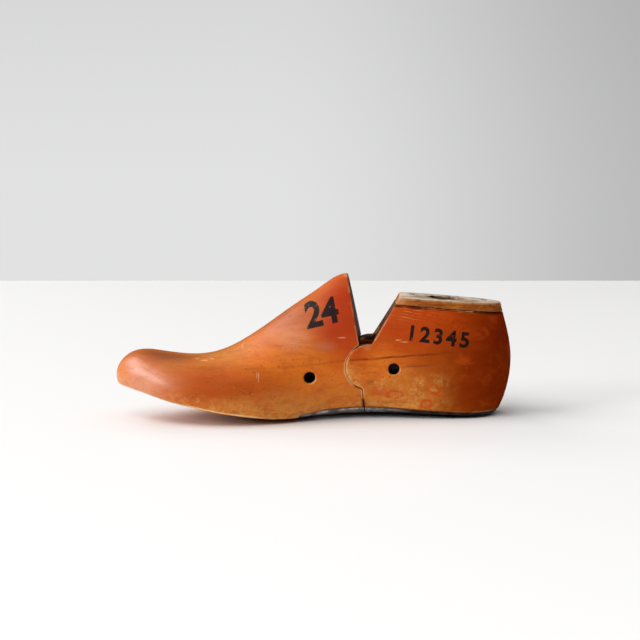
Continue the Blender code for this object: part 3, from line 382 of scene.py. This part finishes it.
class Look(Nodes):
    """A node material under construction."""

    def __init__(self, name):
        self.material = bpy.data.materials.new(name)
        self.material.use_nodes = True
        super().__init__(self.material.node_tree)
        self.shader = self.tree.nodes["Principled BSDF"]
        self.place = self.node("ShaderNodeTexCoord").outputs["Object"]
        self.axes = self.node("ShaderNodeSeparateXYZ", self.place).outputs

    def scaled(self, vector, factors):
        """A vector times another, axis by axis."""
        return self.node("ShaderNodeVectorMath", vector, factors, operation="MULTIPLY").outputs[0]

    def noise(self, scale, stretch=(1, 1, 1), detail=4.0, rough=0.55, shift=0.0, warp=0.0):
        """Noise from 0 to 1, with its scale in features a metre."""
        place = self.scaled(self.place, stretch)
        if shift:
            place = self.node("ShaderNodeVectorMath", place, (shift, shift, shift)).outputs[0]
        made = self.node("ShaderNodeTexNoise", place)
        made.inputs["Scale"].default_value = scale
        made.inputs["Detail"].default_value = detail
        made.inputs["Roughness"].default_value = rough
        made.inputs["Distortion"].default_value = warp
        return made.outputs[0]

    def ragged(self, noise, reach):
        """A noise from 0 to 1 as an offset about 0, for a ragged rim."""
        return self.math("MULTIPLY_ADD", noise, reach, -reach / 2)

    def along(self, start, end, out_low=0.0, out_high=1.0):
        """A smooth step along the last, between two places in millimetres."""
        return self.rise(self.axes[0], start * MM, end * MM, out_low, out_high)

    def sloped(self, slope):
        """Height above a line that falls along the last."""
        return self.math("MULTIPLY_ADD", self.axes[0], slope, self.axes[2])

    def mix(self, share, first, second):
        """A mix of two colours."""
        made = self.node("ShaderNodeMix", data_type="RGBA")
        self.feed(made.inputs[0], share)
        self.feed(made.inputs[6], first)
        self.feed(made.inputs[7], second)
        return made.outputs[2]

    def lay(self, colour, mask, share, shade):
        """Lays a share of a shade over a colour where a mask is 1."""
        return self.mix(self.times(mask, share), colour, shade)

    def most(self, masks):
        """The largest of some masks."""
        largest = masks[0]
        for mask in masks[1:]:
            largest = self.math("MAXIMUM", largest, mask)
        return largest

    def outside(self, mask):
        """1 where a mask is 0, and 0 where it is 1."""
        return self.math("SUBTRACT", 1.0, mask)

    def far(self, middle, radii):
        """How far a place is from a middle, in units of the radii, which are in millimetres."""
        start = [part * MM for part in middle]
        offset = self.node("ShaderNodeVectorMath", self.place, start, operation="SUBTRACT").outputs[0]
        unit = self.scaled(offset, [1 / (radius * MM) for radius in radii])
        return self.node("ShaderNodeVectorMath", unit, operation="LENGTH").outputs["Value"]

    def spot(self, middle, radii, soft=0.5, ragged=None):
        """1 inside an ellipsoid in millimetres and 0 outside, over a soft rim that a noise makes ragged."""
        far = self.far(middle, radii)
        if ragged is not None:
            far = self.math("ADD", far, ragged)
        return self.rise(far, 1 + soft, 1 - soft)

    def band(self, value, middle, width, soft):
        """1 where a value is near its middle and 0 further off than its width."""
        off = self.math("ABSOLUTE", self.math("SUBTRACT", value, middle))
        return self.rise(off, width * (1 + soft), width * (1 - soft))

    def attribute(self, name):
        """A value stored on the mesh."""
        return self.node("ShaderNodeAttribute", attribute_name=name).outputs["Fac"]

    def bump(self, height, distance, below=None):
        """A bump in metres, on top of another."""
        made = self.node("ShaderNodeBump")
        made.inputs["Strength"].default_value = 1.0
        made.inputs["Distance"].default_value = distance
        self.feed(made.inputs["Height"], height)
        if below is not None:
            self.feed(made.inputs["Normal"], below)
        return made.outputs[0]

    def done(self, colour, roughness, metallic=0.0, normal=None):
        """Links the shader and gives the material."""
        self.feed(self.shader.inputs["Base Color"], colour)
        self.feed(self.shader.inputs["Roughness"], roughness)
        self.shader.inputs["Metallic"].default_value = metallic
        if normal is not None:
            self.feed(self.shader.inputs["Normal"], normal)
        return self.material


# Camera, light and floor
def make_camera():
    """The camera at the photograph's viewing angle."""
    yaw, pitch, roll = (math.radians(angle) for angle in (CAMERA_YAW, CAMERA_PITCH, CAMERA_ROLL))
    level_part = math.cos(pitch)
    ahead = Vector((-math.sin(yaw) * level_part, math.cos(yaw) * level_part, -math.sin(pitch)))
    level = ahead.cross(Vector((0, 0, 1))).normalized()
    upright = level.cross(ahead)
    right = level * math.cos(roll) - upright * math.sin(roll)
    up = upright * math.cos(roll) + level * math.sin(roll)
    camera = bpy.data.objects.new("camera", bpy.data.cameras.new("camera"))
    bpy.context.scene.collection.objects.link(camera)
    turn = Matrix((right, up, -ahead)).transposed().to_4x4()
    camera.matrix_world = Matrix.Translation(CAMERA_PLACE) @ turn
    camera.data.lens = CAMERA_LENS
    camera.data.sensor_width = CAMERA_SENSOR
    camera.data.clip_start = CAMERA_NEAR
    bpy.context.scene.camera = camera


def make_lights():
    """Soft window light from the left, with weaker light from the other sides."""
    for name, place, size, power, mirrored in LIGHTS:
        lamp = bpy.data.lights.new(name, "AREA")
        lamp.shape = "RECTANGLE"
        lamp.size, lamp.size_y = size
        lamp.energy = power
        lamp.color = LAMP_COLOUR
        light = bpy.data.objects.new(name, lamp)
        bpy.context.scene.collection.objects.link(light)
        light.location = place
        light.rotation_euler = (Vector(LIT_PLACE) - Vector(place)).to_track_quat("-Z", "Y").to_euler()
        light.visible_glossy = mirrored


def make_world():
    """A dim sky, a dimmer one in reflections, and the pale wall that the camera sees, with painted shade that
    darkens it towards the right and the top.
    """
    world = bpy.data.worlds.new("world")
    bpy.context.scene.world = world
    world.use_nodes = True
    sky = Nodes(world.node_tree)
    way = sky.node("ShaderNodeTexCoord").outputs["Generated"]
    soft = sky.tree.nodes["Background"]
    mirrored = sky.node("ShaderNodeBackground")
    seen = sky.node("ShaderNodeBackground")
    for shader, (colour, ramps) in ((soft, SOFT_SKY), (mirrored, MIRRORED_SKY), (seen, SEEN_SKY)):
        factors = []
        for direction, limits in ramps:
            toward = sky.node("ShaderNodeVectorMath", way, direction, operation="DOT_PRODUCT")
            factors.append(sky.rise(toward.outputs["Value"], *limits))
        sky.feed(shader.inputs["Color"], colour)
        sky.feed(shader.inputs["Strength"], sky.times(*factors))
    rays = sky.node("ShaderNodeLightPath").outputs
    unseen = sky.node("ShaderNodeMixShader", rays["Is Glossy Ray"], soft.outputs[0], mirrored.outputs[0])
    straight = sky.math("MAXIMUM", rays["Is Camera Ray"], rays["Is Transmission Ray"])
    mixed = sky.node("ShaderNodeMixShader", straight, unseen.outputs[0], seen.outputs[0])
    sky.feed(sky.tree.nodes["World Output"].inputs["Surface"], mixed.outputs[0])
    bpy.context.scene.view_settings.view_transform = "Standard"


def make_floor():
    """The pale table top under the last."""
    (left, right), (front, back) = FLOOR_X, FLOOR_Y
    corners = [(left, front, 0), (right, front, 0), (right, back, 0), (left, back, 0)]
    look = Look("pale_floor")
    look.shader.inputs["Specular IOR Level"].default_value = FLOOR_SPECULAR
    mesh = bpy.data.meshes.new("floor")
    mesh.from_pydata(corners, [], [(0, 1, 2, 3)])
    mesh.materials.append(look.done(FLOOR_COLOUR, FLOOR_ROUGHNESS))
    sheet = bpy.data.objects.new("floor", mesh)
    bpy.context.scene.collection.objects.link(sheet)


# Materials
def add_zones(look, colour, cloudy):
    """Lays the shades of the shellac, painted highlights and painted shade among them, over a colour."""
    for shade, middle, radii, share, soft, ragged in ZONES:
        zone = look.spot(middle, radii, soft, look.ragged(cloudy, ragged))
        colour = look.lay(colour, zone, share, shade)
    return colour


def add_worn_patches(look, colour, speckle):
    """Lays the shellac's worn patches along the foot and on the heel's side over a colour."""
    worn = look.times(look.rise(look.attribute("foot"), 0.15, 0.85), look.rise(speckle, 0.44, 0.60))
    worn = look.times(worn, look.along(*FOOT_TO_HEEL), look.along(*FOOT_TO_TOE))
    colour = look.lay(colour, worn, *WORN_FOOT)
    blotches = look.rise(look.noise(150, detail=7, rough=0.8, shift=14.0), 0.46, 0.64)
    mottled = look.times(look.spot(*WORN_SIDE_PLACE, 0.6), blotches)
    return look.lay(colour, mottled, *WORN_SIDE)


def add_rings(look, colour, cloudy):
    """Lays the broken rings on the heel over a colour."""
    broken = look.rise(cloudy, 0.40, 0.56)
    swerve = look.ragged(look.noise(230, detail=3, shift=6.0), 1.1)
    for middle, radii, share in RINGS:
        far = look.math("ADD", look.far(middle, radii), swerve)
        ring = look.times(look.band(far, 1.0, 0.26, 0.8), broken)
        colour = look.lay(colour, ring, share, RING)
    return colour


def add_streaks(look, colour):
    """Lays the dark grain streaks through the joint and the pale ones under the cap over a colour."""
    wander = look.math("SUBTRACT", look.noise(45, (1, 0.2, 0.2), 4, shift=5.0), 0.5)
    level = look.math("MULTIPLY_ADD", wander, STREAK_WANDER, look.sloped(STREAK_SLOPE))
    length = look.times(look.along(*STREAK_FROM), look.along(*STREAK_FAINT), look.along(*STREAK_TO))
    faint = look.rise(look.noise(110, (1, 0.2, 0.2), 4, shift=8.0), 0.32, 0.62, 0.35, 1.0)
    long = look.times(look.band(level, *LONG_STREAK_LINE, 0.7), length, faint)
    colour = look.lay(colour, long, *LONG_STREAK)
    short = look.times(look.band(level, *SHORT_STREAK_LINE, 0.7), look.spot(*SHORT_STREAK_PLACE))
    colour = look.lay(colour, short, *SHORT_STREAK)
    level = look.math("MULTIPLY_ADD", wander, PALE_STREAK_WANDER, look.sloped(PALE_STREAK_SLOPE))
    waves = look.math("SINE", look.times(level, 2 * math.pi / PALE_STREAK_PITCH))
    broken = look.rise(look.noise(260, (0.4, 1, 1), 4, shift=11.0), 0.42, 0.6)
    pale = look.times(look.rise(waves, 0.3, 0.95), broken, look.spot(*PALE_STREAK_PLACE))
    return look.lay(colour, pale, *PALE_STREAK)


def add_marks(look, colour, pits, speckle):
    """Lays the pits, flecks and scratches over a colour."""
    colour = look.lay(colour, pits, *PIT)
    flecks = look.rise(look.noise(520, (1, 1, 1.6), 4, 0.6, shift=4.0), 0.70, 0.76)
    colour = look.lay(colour, flecks, *FLECK)
    ragged = look.ragged(speckle, 3.0)
    scratched = look.most([look.spot(middle, radii, 0.4, ragged) for middle, radii in SCRATCHES])
    return look.lay(colour, scratched, *SCRATCH)


def cap_crack(look):
    """The dark glue crack under the cap, wider in some places than in others."""
    opened = look.rise(look.noise(130, (1, 1, 0.2), 5, shift=12.0), 0.40, 0.66, 0.35, 1.25)
    off = look.math("ABSOLUTE", look.math("SUBTRACT", look.sloped(CAP_SLOPE), CRACK_LEVEL))
    crack = look.rise(look.math("DIVIDE", off, opened), *CRACK_WIDTH)
    return look.times(crack, look.along(*CRACK_FROM))


def add_edges(look, colour, wear, speckle):
    """Lays the worn edges, the pale line along the foot, painted shade along the waist's lower edge and the
    cap's crack over a colour, and gives the wear.
    """
    patchy = look.rise(look.noise(120, detail=5, shift=2.2), 0.42, 0.62)
    worn = look.times(look.rise(wear, 0.2, 0.9), patchy)
    worn = look.math("MAXIMUM", worn, look.rise(wear, 0.80, 1.0, 0.0, 0.45))
    crack = cap_crack(look)
    v_edges = look.times(look.spot(*V_EDGES, 0.2), 0.5)
    low = look.rise(look.axes[2], *FEATHER_LEVELS)
    # Painted shade along the waist's lower edge, where the wood curves under.
    waist_shade = look.times(look.rise(wear, 0.10, 0.75), low, look.along(*WAIST_SHADE_FROM), look.along(*WAIST_SHADE_TO))
    worn = look.times(worn, look.outside(crack), look.outside(v_edges), look.outside(waist_shade))
    colour = look.lay(colour, worn, *WORN_EDGE)
    colour = look.lay(colour, waist_shade, *WAIST_PAINTED_SHADE)
    feather = look.times(look.rise(wear, 0.25, 0.70), low, look.along(*FEATHER_TO))
    colour = look.lay(colour, feather, look.rise(speckle, 0.30, 0.55, 0.5, 0.9), FEATHER_LINE)
    return look.lay(colour, crack, *CRACK), worn


def add_cuts(look, colour, cut, wear, grain, speckle):
    """Lays painted shade on the sawn faces, pale worn wood with painted light along the joint's rim, and
    painted shade in the spring's slot and the bores over a colour.
    """
    # Painted shade on the sawn faces and the turned face.
    sawn = look.mix(look.rise(grain, 0.35, 0.7), *SAWN_PAINTED_SHADE)
    colour = look.lay(colour, cut, look.rise(wear, 0.95, 0.6, 0.1, 0.9), sawn)
    # Pale worn wood along the joint's arc, painted on into the gap as painted light over its shade.
    colour = look.lay(colour, look.rise(look.attribute("rim"), 0.05, 0.45), *JOINT_RIM_AND_PAINTED_LIGHT)
    # Painted shade in the spring's slot.
    colour = look.lay(colour, look.spot(*SLOT_SHADE_PLACE, 0.10), *SLOT_PAINTED_SHADE)
    scuff = look.spot(*SCUFF_PLACE, 0.4, look.ragged(speckle, 1.6))
    colour = look.lay(colour, scuff, *SCUFF)
    # Painted shade on the walls of the cross pins' bores.
    return look.mix(look.attribute("bore"), colour, BORE_PAINTED_SHADE)


def wood_look(name, inked):
    """Maple under aged orange shellac, worn to the wood along its edges, bare or under worn ink, with painted
    highlights and painted shade in its colour.
    """
    look = Look(name)
    broad = look.noise(24, (1, 1.5, 1.5), 3, shift=3.1)
    cloudy = look.noise(75, (1, 1.6, 1.6), 5, shift=7.7)
    speckle = look.noise(330, (0.8, 1, 1), 6, 0.7, shift=1.3)
    grain = look.noise(300, (0.09, 1, 1), 6, 0.6, warp=0.3)
    fine = look.noise(1700, (0.05, 1, 1), 3, 0.6)
    dented = look.most([look.rise(broad, 0.40, 0.60), look.spot(*DENTED_TOE, 0.4)])
    pits = look.times(look.rise(look.noise(900, detail=3, shift=9.0), 0.63, 0.69), dented)
    wear = look.attribute("wear")
    cut = look.attribute("cut")
    colour = look.mix(look.rise(broad, 0.3, 0.7), *SHELLAC)
    colour = add_zones(look, colour, cloudy)
    colour = look.lay(colour, look.rise(cloudy, 0.52, 0.70), *STAIN)
    colour = look.mix(look.rise(grain, 0.45, 0.75, 0.0, 0.36), colour, GRAIN)
    colour = look.mix(look.rise(fine, 0.52, 0.72, 0.0, 0.28), colour, FINE_GRAIN)
    colour = add_worn_patches(look, colour, speckle)
    colour = add_rings(look, colour, cloudy)
    colour = add_streaks(look, colour)
    colour = add_marks(look, colour, pits, speckle)
    colour, worn = add_edges(look, colour, wear, speckle)
    colour = add_cuts(look, colour, cut, wear, grain, speckle)
    rough = look.rise(cloudy, 0.3, 0.8, *WOOD_ROUGHNESS)
    rough = look.math("ADD", rough, look.times(worn, BARE_ROUGHER))
    rough = look.math("ADD", rough, look.times(cut, BARE_ROUGHER))
    if inked:
        holes = look.math("ADD", look.rise(speckle, 0.56, 0.68), look.rise(grain, 0.60, 0.72, 0.0, 0.5))
        colour = look.mix(look.rise(holes, 0.1, 0.9, 0.98, 0.25), colour, INK)
        rough = look.math("ADD", rough, INK_ROUGHER)
    relief = look.bump(grain, GRAIN_DEPTH)
    relief = look.bump(speckle, SPECKLE_DEPTH, relief)
    relief = look.bump(look.times(pits, -1.0), PIT_DEPTH, relief)
    polish = look.most([
        look.times(look.spot(middle, radii, POLISH_SOFT), share)
        for middle, radii, share in POLISHED
    ])
    gloss = look.times(polish, INK_GLOSS if inked else POLISH_GLOSS)
    gloss = look.math("ADD", gloss, look.along(*GLOSS_FADE))
    look.feed(look.shader.inputs["Specular IOR Level"], gloss)
    look.feed(look.shader.inputs["Coat Weight"], look.times(polish, INK_GLOSS if inked else POLISH_COAT))
    look.shader.inputs["Coat Roughness"].default_value = COAT_ROUGHNESS
    return look.done(colour, rough, normal=relief)


def cap_look():
    """The bare wood of the cap, dull and greyed on top, ochre along its side, with painted shade in its bore.
    """
    look = Look("worn_cap_wood")
    streaks = look.noise(520, (0.10, 1, 1), 6, 0.65, warp=0.5)
    blotch = look.noise(130, detail=5)
    side = look.mix(look.rise(streaks, 0.35, 0.7), *CAP_SIDE)
    bare = look.mix(look.rise(blotch, 0.35, 0.7), *CAP_BARE)
    bare = look.mix(look.rise(streaks, 0.5, 0.8, 0, 0.5), bare, CAP_STREAK)
    grime = look.spot(*GRIME_PLACE, 0.6, look.ragged(blotch, 1.4))
    bare = look.lay(bare, grime, *CAP_GRIME)
    colour = look.mix(look.rise(look.attribute("top"), 0.45, 0.85), side, bare)
    # Painted shade in the cap's bore.
    colour = look.mix(look.spot(*CAP_BORE_PLACE, 0.06), colour, CAP_BORE_PAINTED_SHADE)
    worn = look.times(look.attribute("wear"), look.rise(look.noise(220, detail=5), 0.36, 0.56))
    worn = look.times(worn, look.rise(look.sloped(CAP_SLOPE), *CAP_EDGE_LEVELS, 0.15, 1.0))
    colour = look.lay(colour, worn, *CAP_EDGE)
    colour = look.lay(colour, look.spot(*CAP_CORNER_PLACE), *CAP_CORNER)
    look.shader.inputs["Specular IOR Level"].default_value = CAP_SPECULAR
    return look.done(colour, CAP_ROUGHNESS, normal=look.bump(streaks, CAP_GRAIN_DEPTH))


def plate_look():
    """Sheet steel, nearly black with age and painted shade, with bright blotches under the waist that are
    partly rubbed steel and partly a painted reflection.
    """
    look = Look("plate_steel")
    blotch = look.noise(260, (0.5, 1, 1), 6, rough=0.7)
    # Bright blotches under the waist: partly rubbed steel and partly a painted reflection of the table.
    rubbed_and_reflection = look.spot(*RUBBED_AND_REFLECTION_PLACE, 0.5, look.ragged(blotch, 1.2))
    # Nearly black steel, partly aged and partly painted shade for the dark band along the edge.
    shade = look.mix(look.rise(blotch, 0.35, 0.7), *PLATE_AND_PAINTED_SHADE)
    shade = look.mix(rubbed_and_reflection, shade, look.mix(look.rise(blotch, 0.42, 0.60), *RUBBED_AND_PAINTED_REFLECTION))
    rough = look.rise(blotch, 0.3, 0.7, *PLATE_ROUGHNESS)
    return look.done(shade, rough, PLATE_METALLIC, look.bump(blotch, BLOTCH_DEPTH))


def steel_look(name, colour, dark, roughness):
    """Worn steel, blotched dark."""
    look = Look(name)
    blotch = look.noise(180, detail=6, rough=0.65)
    scratches = look.noise(900, (0.1, 1, 1), 4, 0.6, shift=2.0)
    shade = look.mix(look.rise(blotch, 0.35, 0.7), dark, colour)
    pale = [SCRATCHED_BRIGHTER * part for part in colour]
    shade = look.mix(look.rise(scratches, 0.55, 0.8, 0, 0.35), shade, pale)
    rough = look.rise(blotch, 0.3, 0.7, roughness + STEEL_ROUGHER, roughness)
    return look.done(shade, rough, STEEL_METALLIC, look.bump(blotch, BLOTCH_DEPTH))


# Meshes
def welded(node):
    """A bmesh of a CAD node's surface with its points joined."""
    soft = bmesh.new()
    soft.from_mesh(frame["nodes"][node].data)
    bmesh.ops.remove_doubles(soft, verts=soft.verts, dist=WELD)
    return soft


def add_piece(name, mesh, node, material):
    """Adds a mesh that stands for a CAD node and rides on its body."""
    piece = bpy.data.objects.new(name, mesh)
    bpy.context.scene.collection.objects.link(piece)
    mesh.materials.clear()
    mesh.materials.append(material)
    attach(piece, NODE_BODY[node])
    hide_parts(node)
    return piece


def evaluated_mesh(thing):
    """The mesh that an object's modifiers make."""
    bpy.context.view_layer.update()
    return bpy.data.meshes.new_from_object(thing.evaluated_get(bpy.context.evaluated_depsgraph_get()))


def edge_points(soft):
    """Points along the sharp outer edges and along the sharp inner edges."""
    outer = []
    inner = []
    for edge in soft.edges:
        if len(edge.link_faces) != 2 or edge.calc_face_angle(0) < SHARP_EDGE:
            continue
        start, end = (corner.co for corner in edge.verts)
        count = max(1, math.ceil((end - start).length / EDGE_STEP))
        points = [start.lerp(end, i / count) for i in range(count + 1)]
        (outer if edge.is_convex else inner).extend(points)
    return outer, inner


def distances(points, targets):
    """How far each point is from the nearest target."""
    tree = kdtree.KDTree(len(targets))
    for i, target in enumerate(targets):
        tree.insert(target, i)
    tree.balance()
    return np.array([tree.find(point)[2] for point in points])


def relax(points, edges, weight, rounds):
    """Moves each point towards the middle of its neighbours, by its weight, some rounds over."""
    count = len(points)
    near = np.concatenate((edges[:, 0], edges[:, 1]))
    far = np.concatenate((edges[:, 1], edges[:, 0]))
    degree = np.maximum(np.bincount(near, minlength=count), 1)[:, None]
    for _ in range(rounds):
        sums = [np.bincount(near, points[far, axis], count) for axis in range(3)]
        middle = np.stack(sums, axis=1) / degree
        points = points + weight[:, None] * (middle - points)
    return points


def pin_offsets(points):
    """For each cross pin, how far each point is from its axis along X and along Z."""
    for node in ("front_hinge_pin", "rear_hinge_pin"):
        low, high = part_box(node)
        yield points[:, 0] - (low[0] + high[0]) / 2, points[:, 2] - (low[2] + high[2]) / 2


def pin_distance(points):
    """How far each point is from the nearer cross pin's axis."""
    return np.minimum(*(np.hypot(across, up) for across, up in pin_offsets(points)))


def near_pins(points):
    """1 at the rims of the cross pins' holes, less towards the lower right, and 0 elsewhere."""
    near = np.zeros(len(points))
    for across, up in pin_offsets(points):
        far = np.hypot(across, up)
        facing = (across - up) / np.maximum(far, MM)
        near[far < PIN_RIM] = np.clip(PIN_RIM_SPREAD - facing, 0, 1)[far < PIN_RIM]
    return near


def joint_distance(points):
    """How far each point is outside the nose's round surface."""
    return np.hypot(points[:, 0] - JOINT[0], points[:, 2] - JOINT[2]) - NOSE_RADIUS


def arc_rim(points, width):
    """1 along the toe side of the joint's arc on the inner side of the last, fading to 0 over a width."""
    near = np.clip(1 - np.abs(joint_distance(points) - NOSE_GAP / 2) / width, 0, 1)
    ahead = (JOINT[0] - points[:, 0]) / NOSE_RADIUS
    above = (points[:, 2] - JOINT[2]) / NOSE_RADIUS
    spread = np.clip((ahead - RIM_START) / RIM_FADE, 0, 1) * (points[:, 1] < 0)
    return near * spread * (np.abs(above) < RIM_HEIGHT)


def above_foot(points):
    """How far each point is above the lowest one at its place along the last."""
    places = np.round(points[:, 0] / MM).astype(int)
    places -= places.min()
    lowest = np.full(places.max() + 1, np.inf)
    np.minimum.at(lowest, places, points[:, 2])
    return points[:, 2] - lowest[places]


def add_values(mesh, name, values):
    """Stores one value a point on a mesh."""
    layer = mesh.attributes.new(name, "FLOAT", "POINT")
    layer.data.foreach_set("value", values.astype(np.float32))


def point_normals(mesh):
    """The normals of a mesh's points."""
    normals = np.empty(len(mesh.vertices) * 3, np.float32)
    mesh.vertex_normals.foreach_get("vector", normals)
    return normals.reshape(-1, 3)


def tag_top(mesh, points):
    """Marks the cap's top face, whose wood is bare."""
    add_values(mesh, "top", np.clip(point_normals(mesh)[:, 2], 0, 1))


def tag_cut(mesh, points):
    """Marks the sawn faces and the turned one, the joint's rim and the bores of the cross pins."""
    along, sideways, _ = np.abs(point_normals(mesh)).T
    x, z = points[:, 0], points[:, 2]
    sawn = (x > SAWN_X[0]) & (x < SAWN_X[1]) & (z > SAWN_Z[0]) & (z < SAWN_Z[1])
    sawn &= (sideways < SAWN_SIDEWAYS) & (along > SAWN_ALONG)
    turned = (np.abs(joint_distance(points)) < NOSE_SKIN) & (sideways < NOSE_SIDEWAYS)
    add_values(mesh, "cut", (sawn | turned).astype(float))
    add_values(mesh, "rim", arc_rim(points, RIM_WIDTH))
    add_values(mesh, "bore", (pin_distance(points) < BORE_RADIUS) & (sideways < BORE_SIDEWAYS))


def remeshed(name, soft, cell):
    """A copy of a bmesh in cells of one size."""
    mesh = bpy.data.meshes.new(name)
    soft.to_mesh(mesh)
    rough = bpy.data.objects.new(name + "_rough", mesh)
    bpy.context.scene.collection.objects.link(rough)
    remesh = rough.modifiers.new("cells", "REMESH")
    remesh.mode = "VOXEL"
    remesh.voxel_size = cell
    fine = evaluated_mesh(rough)
    bpy.data.objects.remove(rough)
    return fine


def faired(points, edges, to_edge):
    """Points that lie on fair surfaces, with softly rounded edges and a rounder rim along the joint."""
    free = np.clip((to_edge - KEPT_NEAR_EDGE) / (FREE_OF_EDGE - KEPT_NEAR_EDGE), 0, 1)
    fair = relax(points, edges, FAIRING_WEIGHT * free, FAIRING_ROUNDS)
    points = fair + relax(points - fair, edges, FAIRING_WEIGHT * free, FAIRING_ROUNDS)
    points = relax(points, edges, np.full(len(points), ROUNDING_WEIGHT), ROUNDING_ROUNDS)
    points = relax(points, edges, ROUNDING_WEIGHT * arc_rim(points, RIM_REACH), RIM_ROUNDS)
    inward = arc_rim(points, RIM_REACH) * (joint_distance(points) > NOSE_GAP / 2)
    away = (points - JOINT) * (1, 0, 1)
    return points - RIM_STEP * inward[:, None] * away / np.linalg.norm(away, axis=1)[:, None]


def fine_piece(name, node, cell, material, tag):
    """A fine copy of a CAD node with fair surfaces and softly worn edges."""
    soft = welded(node)
    outer, inner = edge_points(soft)
    fine = remeshed(name, soft, cell)
    soft.free()
    points = np.empty(len(fine.vertices) * 3, np.float32)
    fine.vertices.foreach_get("co", points)
    points = points.reshape(-1, 3).astype(float)
    edges = np.empty(len(fine.edges) * 2, np.int32)
    fine.edges.foreach_get("vertices", edges)
    edges = edges.reshape(-1, 2)
    to_outer = distances(points, outer)
    to_edge = np.minimum(to_outer, distances(points, inner)) if inner else to_outer
    points = faired(points, edges, to_edge)
    tag(fine, points)
    wear = np.clip(1 - to_outer / WEAR_REACH, 0, 1) * (1 - PIN_RIM_LOSS * near_pins(points))
    add_values(fine, "wear", wear)
    add_values(fine, "foot", np.clip(1 - above_foot(points) / FOOT_REACH, 0, 1))
    fine.vertices.foreach_set("co", points.astype(np.float32).ravel())
    fine.shade_smooth()
    fine.update()
    fine.name = name
    return add_piece(name, fine, node, material)


def plain_piece(name, node, material, bevel):
    """A copy of a CAD node with smooth faces and small bevels on its sharp edges."""
    soft = welded(node)
    mesh = bpy.data.meshes.new(name)
    bmesh.ops.dissolve_limit(soft, angle_limit=FLAT_TURN, verts=soft.verts, edges=soft.edges)
    soft.to_mesh(mesh)
    soft.free()
    piece = add_piece(name, mesh, node, material)
    if bevel:
        rounding = piece.modifiers.new("bevel", "BEVEL")
        rounding.width = bevel
        rounding.segments = 2
        rounding.limit_method = "ANGLE"
        rounding.angle_limit = SHARP_EDGE
    mesh.shade_smooth()
    mesh.set_sharp_from_angle(angle=SHARP_EDGE)


def ink_mark(name, words, middle, height, turn, spacing, wood, material):
    """Plain numbers in ink that lie on a wooden piece."""
    letters = bpy.data.curves.new(name, "FONT")
    letters.body = words
    letters.size = height * MM / DIGIT_SHARE
    letters.space_character = spacing
    letters.offset = INK_BOLD * letters.size
    letters.align_x = "CENTER"
    letters.align_y = "CENTER"
    rough = bpy.data.objects.new(name + "_rough", letters)
    bpy.context.scene.collection.objects.link(rough)
    mesh = evaluated_mesh(rough)
    bpy.data.objects.remove(rough)
    soft = bmesh.new()
    soft.from_mesh(mesh)
    reach = int(INK_REACH / INK_STEP)
    for axis in ((1, 0, 0), (0, 1, 0)):
        for i in range(-reach, reach + 1):
            place = Vector(axis) * i * INK_STEP
            everything = soft.verts[:] + soft.edges[:] + soft.faces[:]
            bmesh.ops.bisect_plane(soft, geom=everything, plane_co=place, plane_no=axis)
    slant = Matrix.Rotation(math.radians(turn), 3, "Z")
    tree = bvhtree.BVHTree.FromObject(wood, bpy.context.evaluated_depsgraph_get())
    for corner in soft.verts:
        spot = slant @ corner.co
        start = Vector((middle[0] * MM + spot.x, INK_START, middle[1] * MM + spot.y))
        hit, normal, _, _ = tree.ray_cast(start, Vector((0, 1, 0)))
        corner.co = hit + normal * INK_LIFT
    soft.to_mesh(mesh)
    soft.free()
    piece = bpy.data.objects.new(name, mesh)
    bpy.context.scene.collection.objects.link(piece)
    mesh.materials.clear()
    mesh.materials.append(material)
    mesh.shade_smooth()
    return piece


def make_pieces():
    """Dresses every node of the last."""
    wood = wood_look("shellacked_maple", False)
    cap = cap_look()
    plate = plate_look()
    bright_steel = steel_look("bright_steel", *BRIGHT_STEEL)
    dark_steel = steel_look("dark_steel", *DARK_STEEL)
    fore = fine_piece("forepart_wood", "forepart", WOOD_CELL, wood, tag_cut)
    heel = fine_piece("heel_wood", "heel_part", WOOD_CELL, wood, tag_cut)
    fine_piece("cap_wood", "cone_cap", CAP_CELL, cap, tag_top)
    inked = wood_look("inked_maple", True)
    for mark, under in zip(INK_MARKS, ((fore, "forepart"), (heel, "heel_part"))):
        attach(ink_mark(*mark, under[0], inked), NODE_BODY[under[1]])
    for node in sorted(frame["nodes"]):
        if node in WOODEN_NODES:
            continue
        steel = bright_steel if "screw" in node or node in BRIGHT_NODES else dark_steel
        if node in PLATE_NODES:
            steel = plate
        plain_piece(node + "_dressed", node, steel, BEVEL if node != "hinge_spring" else 0)


make_camera()
make_lights()
make_world()
make_floor()
make_pieces()
